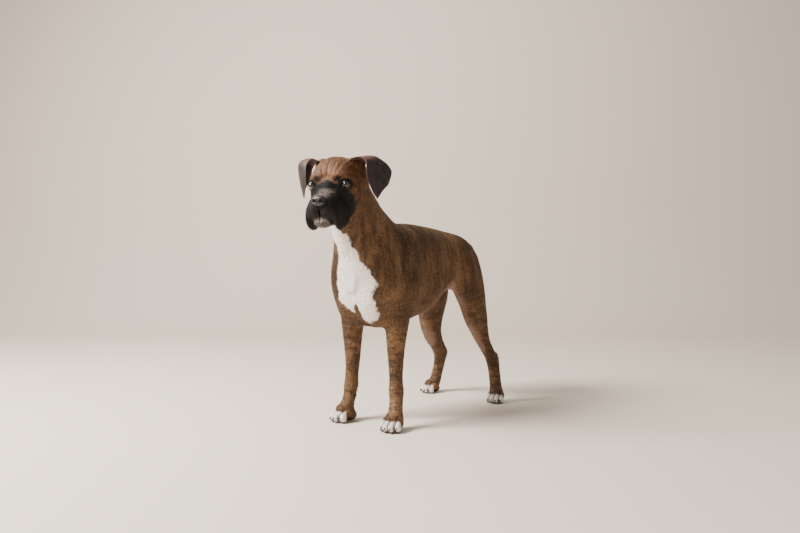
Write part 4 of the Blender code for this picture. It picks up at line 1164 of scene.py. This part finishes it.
# ---------------------------------------------------------------- eyes, lids, nose, claws, whiskers
def gaze(side):
    """The head's matrix carried to an eye and turned to look a little outward and down."""
    turn = Matrix.Rotation(math.radians(side * 12), 4, "Z") @ Matrix.Rotation(math.radians(3), 4, "X")
    return head_matrix() @ Matrix.Translation((side * EYE_AT[0], EYE_AT[1], EYE_AT[2])) @ turn


def make_eye(name, side, material):
    """A ball turned about its gaze; the cornea swells 0.0009 over the middle 0.8 of a radian."""
    angle = np.linspace(0.0005, math.pi - 0.0005, 96)
    swell = np.clip(np.cos(np.clip(angle / 0.80, 0, 1) * math.pi / 2), 0, 1) ** 1.2
    radius = EYE_RADIUS * (0.985 + 0.080 * swell)
    profile = np.stack([radius * np.sin(angle), radius * np.cos(angle)], axis=1)
    points, faces = revolve(profile, 96)
    mesh = mesh_from(name, moved(points, gaze(side)), faces)
    off = np.repeat(angle, 96)
    ring = np.tile(np.linspace(0, 2 * np.pi, 96, endpoint=False), 96)
    set_floats(mesh, "off", off)
    set_vectors(mesh, "spoke", np.stack([np.cos(ring), np.sin(ring), off * 0.25], axis=1))
    return add_object(name, mesh, material)


def make_lids(side):
    """Both lids as one collar on the eyeball: a grid whose rows run from the almond opening outwards. Row k
    is the almond (a = 0.86 cos t, b = 0.44 sin t, in radians from the gaze) grown towards a circle of 1.45
    radians; the first rows turn over a rounded wet edge."""
    t = np.linspace(0, 2 * np.pi, 144, endpoint=False)[None, :]
    grow = np.linspace(0, 1, 30)[:, None]
    high = np.where(np.sin(t) > 0, 0.44, 0.42)
    a = (0.86 + (1.40 - 0.86) * grow) * np.cos(t) * side
    b = (high + (1.45 - high) * grow) * np.sin(t) + 0.05 * np.cos(t) * (1 - grow)
    edge = np.sqrt(np.clip(1 - (1 - np.clip(grow / 0.07, 0, 1)) ** 2, 0, 1))
    raised = 1.015 + 0.105 * edge - 0.03 * bump(grow - 0.30, 0.07)
    reach = EYE_RADIUS * raised - 0.0016 * ramp(grow, 0.4, 1.0)
    d = np.stack([np.sin(a) * np.cos(b), -np.cos(a) * np.cos(b), np.sin(b)], axis=-1)
    points = d * (reach + 0 * a)[..., None]
    faces = grid_faces(30, 144, wrap=True)
    return moved(points.reshape(-1, 3), gaze(side)), faces if side < 0 else faces[:, ::-1]


def make_nose(material):
    """A rounded box with comma nostrils: radius (|x|^2.6 + |y|^2.6 + |z|^2.6)^(-1/2.6) by its three half
    sizes, pushed in at two nostrils and along the middle groove, with painted shade marked in the sunk
    nostrils."""
    rows, columns = 120, 160
    v = np.linspace(0.0, math.pi, rows)[:, None]
    w = np.linspace(0.0, 2 * np.pi, columns, endpoint=False)[None, :]
    d = np.stack([np.sin(v) * np.cos(w), np.cos(v) + 0 * w, np.sin(v) * np.sin(w)], axis=-1)
    d = d[::-1]
    size = (np.abs(d) ** 2.6).sum(axis=-1) ** (1 / 2.6)
    p = d / size[:, :, None] * np.array([0.0183, 0.0133, 0.0138])
    x, y, z = p[..., 0], p[..., 1], p[..., 2]
    front = ramp(-y, 0.002, 0.010)
    hole = 0.0
    for side in (1, -1):
        cx, cz = side * 0.0088, 0.0006
        across = (x - cx) * side
        reach = np.hypot(across / 0.0042, (z - cz - 0.25 * across) / 0.0037)
        hole = np.maximum(hole, np.exp(-(reach**4)))
        slit = bump(z + 0.0022 - 0.30 * (across - 0.004), 0.0013) * ramp(across, 0.0015, 0.004)
        hole = np.maximum(hole, 0.75 * slit * ramp(np.abs(x), 0.009, 0.012))
    groove = bump(x, 0.0011) * ramp(-z, -0.009, 0.002)
    sink = (0.0062 * hole + 0.0016 * groove) * front
    p[..., 1] += sink
    p[..., 2] *= 1 - 0.10 * ramp(np.abs(x), 0.006, 0.017)
    m = head_matrix() @ Matrix.Translation((0.0, -0.0620, -0.0360))
    mesh = mesh_from("nose", moved(p.reshape(-1, 3), m), grid_faces(rows, columns, wrap=True))
    # painted shade for the sunk nostrils
    set_floats(mesh, "dark", np.clip(hole * front, 0, 1).ravel())
    return add_object("nose", mesh, material)


def claw_places():
    """Where each claw grows: one ahead of each toe and a dewclaw inside each wrist."""
    places = {}
    for paw, (x, y, size, turn) in PAWS.items():
        stand = Matrix.Translation((x, y, 0.0)) @ Matrix.Rotation(math.radians(turn), 4, "Z")
        for number, (across, ahead) in enumerate(TOES, 1):
            root = Vector((across * size, (-0.0350 + ahead) * size, 0.0170 * size))
            tilt = Matrix.Rotation(math.radians(26), 4, "X") @ Matrix.Rotation(-across * 6, 4, "Z")
            places[f"claw_{paw[:4]}_{paw.split('_')[1]}_{number}"] = stand @ Matrix.Translation(root) @ tilt
    for side, word in ((1, "left"), (-1, "right")):
        root = Matrix.Translation((side * 0.0665, -0.166, 0.075))
        places[f"dewclaw_{word}"] = root @ Matrix.Rotation(math.radians(62), 4, "X")
    return places


def joined(parts):
    """Several (points, faces) as one."""
    points, faces, first = [], [], 0
    for p, f in parts:
        points.append(p)
        faces.append(np.asarray(f) + first)
        first += len(p)
    return np.concatenate(points), np.concatenate(faces)


def claw_shape(place):
    """A horn that tapers as sqrt(1 - s) and bends down as 0.0022 s^2."""
    s = np.linspace(0.0, 1.0, 22)
    path = np.stack([0 * s, -0.0130 * s, 0.0012 * np.sin(np.pi * s) - 0.0022 * s**2], axis=1)
    radii = 0.0034 * (0.12 + 0.88 * (1 - s) ** 0.55)
    radii[-1] = 0.00005
    points, faces = sweep(path, radii, 20)
    points[:, 0] *= 0.8
    return moved(points, place), faces


def whisker_shapes():
    """Thin tapering hairs that leave the muzzle's sides and the brows and droop a little."""
    parts = []
    m = head_matrix()
    for side in (1, -1):
        for row in range(4):
            for column in range(3):
                out = side * (0.036 + 0.002 * column)
                start = Vector((out, -0.040 + 0.012 * column, -0.052 - 0.008 * row))
                way = Vector((side * 0.85, -0.35 + 0.22 * column, -0.28 - 0.10 * row)).normalized()
                parts.append(whisker(m, start, way, 0.024 + 0.004 * column))
        for k in range(2):
            start = Vector((side * (0.026 + 0.008 * k), -0.006, 0.030))
            parts.append(whisker(m, start, Vector((side * 0.35, -0.72, 0.6)).normalized(), 0.015))
    return joined(parts)


def whisker(matrix, start, way, length):
    """One hair: straight along its way, drooping as 0.20 length s^2, thinned to 0.15 at the tip."""
    s = np.linspace(0, 1, 12)
    path = np.array(start)[None] + np.array(way)[None] * (s * length)[:, None]
    path[:, 2] -= 0.20 * length * s**2
    points, faces = sweep(path, 0.00022 * (1 - 0.85 * s), 6)
    return moved(points, matrix), faces


# ---------------------------------------------------------------- floor, light, camera
def make_stage():
    """A pale sweep: floor that rises in a wide curve into the wall behind."""
    t = np.linspace(0, 1, 60)
    back, high = 3.1, 3.4
    bend = 0.9
    angle = np.clip((t - 0.35) / 0.3, 0, 1) * math.pi / 2
    run = np.where(t < 0.35, -3.4 + (back - bend + 3.4) * t / 0.35, back - bend + bend * np.sin(angle))
    rise = np.where(t < 0.65, bend * (1 - np.cos(angle)), bend + (high - bend) * (t - 0.65) / 0.35)
    across = np.linspace(-5.5, 5.5, 12)
    far = run[:, None] + 0 * across
    side = across[None, :] + 0 * far
    x = -far * math.sin(VIEW_TURN) + side * math.cos(VIEW_TURN)
    y = far * math.cos(VIEW_TURN) + side * math.sin(VIEW_TURN)
    z = rise[:, None] + 0 * x
    points = np.stack([x, y, z], axis=-1).reshape(-1, 3)
    faces = grid_faces(60, 12)
    mesh = mesh_from("floor", points, faces)
    material, _, surface = new_material("Floor")
    surface.inputs["Base Color"].default_value = linear(232, 220, 207)
    surface.inputs["Roughness"].default_value = 0.75
    surface.inputs["Specular IOR Level"].default_value = 0.25
    return add_object("floor", mesh, material)


def add_area(name, place, target, size, power, color):
    """A soft rectangular light turned to a target."""
    light = bpy.data.lights.new(name, "AREA")
    light.shape = "RECTANGLE"
    light.size, light.size_y = size
    light.energy = power
    light.color = color
    obj = bpy.data.objects.new(name, light)
    bpy.context.scene.collection.objects.link(obj)
    obj.location = place
    obj.rotation_euler = (Vector(target) - Vector(place)).to_track_quat("-Z", "Y").to_euler()


def from_view(right, ahead, up):
    """A place from how far right, away and up it is for someone at the camera."""
    x = right * math.cos(VIEW_TURN) - ahead * math.sin(VIEW_TURN)
    y = right * math.sin(VIEW_TURN) + ahead * math.cos(VIEW_TURN)
    return (x, y, up)


def make_lights():
    """A large warm key from the left, a weak fill, a light on the wall and a pale sky."""
    add_area("key", from_view(-2.3, -0.9, 2.5), (0, 0, 0.35), (1.4, 1.4), 330, (1.0, 0.95, 0.89))
    add_area("fill", from_view(1.9, -2.4, 1.6), (0, 0, 0.35), (2.4, 2.0), 8, (0.95, 0.97, 1.0))
    add_area("wall", from_view(0.0, 0.9, 3.1), from_view(0, 2.8, 0.9), (3.0, 1.0), 26, (1.0, 0.97, 0.93))
    world = bpy.data.worlds.new("Studio")
    bpy.context.scene.world = world
    world.use_nodes = True
    world.node_tree.nodes["Background"].inputs["Color"].default_value = (1.0, 0.95, 0.885, 1.0)
    world.node_tree.nodes["Background"].inputs["Strength"].default_value = 0.34


def make_camera():
    """A level camera, its frame slid so that the horizon falls on its row."""
    data = bpy.data.cameras.new("camera")
    data.lens = SENSOR * FOCAL / VIEW_SIZE[0]
    data.sensor_width = SENSOR
    data.shift_y = (HORIZON_ROW - VIEW_SIZE[1] / 2) / VIEW_SIZE[0]
    camera = bpy.data.objects.new("camera", data)
    bpy.context.scene.collection.objects.link(camera)
    camera.location = Vector((1.26, -1.658, 0.47)) + Vector(SHIFT)
    camera.rotation_euler = (math.radians(90), 0, VIEW_TURN)
    bpy.context.scene.camera = camera


# ---------------------------------------------------------------- the whole dog
LIMBS = ("thigh", "foreleg", "hindleg", "forepaw", "hindpaw")
FLESH = ["head", "neck", "trunk", "tail"]
FLESH += [f"{part}_{side}" for part in LIMBS for side in ("left", "right")]


def place_piece(obj, nodes):
    """Shifts a finished piece into the frame's axes, hangs it under the root, and hides the parts of
    model.glb that it takes the place of.
    """
    points = read_points(obj.data) + SHIFT
    obj.data.vertices.foreach_set("co", points.astype(np.float32).ravel())
    obj.data.update()
    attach(obj, "root")
    if nodes:
        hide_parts(*nodes)


def main():
    """Makes each piece, sets it in the frame, and adds the floor, lights and camera."""
    group = coat_group()
    skin_look = coat_material("Skin", group, 0.55)
    tuft_look = coat_material("Tufts", group, 0.0)
    skin, points, normals = make_skin(skin_look)
    coat = make_coat(skin, points, normals, tuft_look)
    ear_look = ear_material()
    eye_look = eye_material()
    claw_look = plain_material("Claw", linear(52, 44, 40), 0.35, 0.15)
    lid_look = plain_material("Lid", linear(20, 14, 14), 0.22)
    hair_look = plain_material("Whisker", linear(26, 20, 18), 0.45)
    place_piece(skin, FLESH)
    for piece in coat:
        place_piece(piece, [])
    place_piece(make_ear("ear_left_skin", EAR_LEFT, ear_look, True, 0.6), ["ear_left"])
    place_piece(make_ear("ear_right_skin", EAR_RIGHT, ear_look, False, 0.6), ["ear_right"])
    for side, word in ((1, "left"), (-1, "right")):
        place_piece(make_eye(f"eyeball_{word}", side, eye_look), [f"eye_{word}"])
    lids = joined([make_lids(side) for side in (1, -1)])
    place_piece(add_object("lids", mesh_from("lids", *lids), lid_look), [])
    place_piece(make_nose(nose_material()), ["nose"])
    places = claw_places()
    claws = joined([claw_shape(place) for place in places.values()])
    place_piece(add_object("claws", mesh_from("claws", *claws), claw_look), list(places))
    place_piece(add_object("whiskers", mesh_from("whiskers", *whisker_shapes()), hair_look), [])
    make_stage()
    make_lights()
    make_camera()


main()
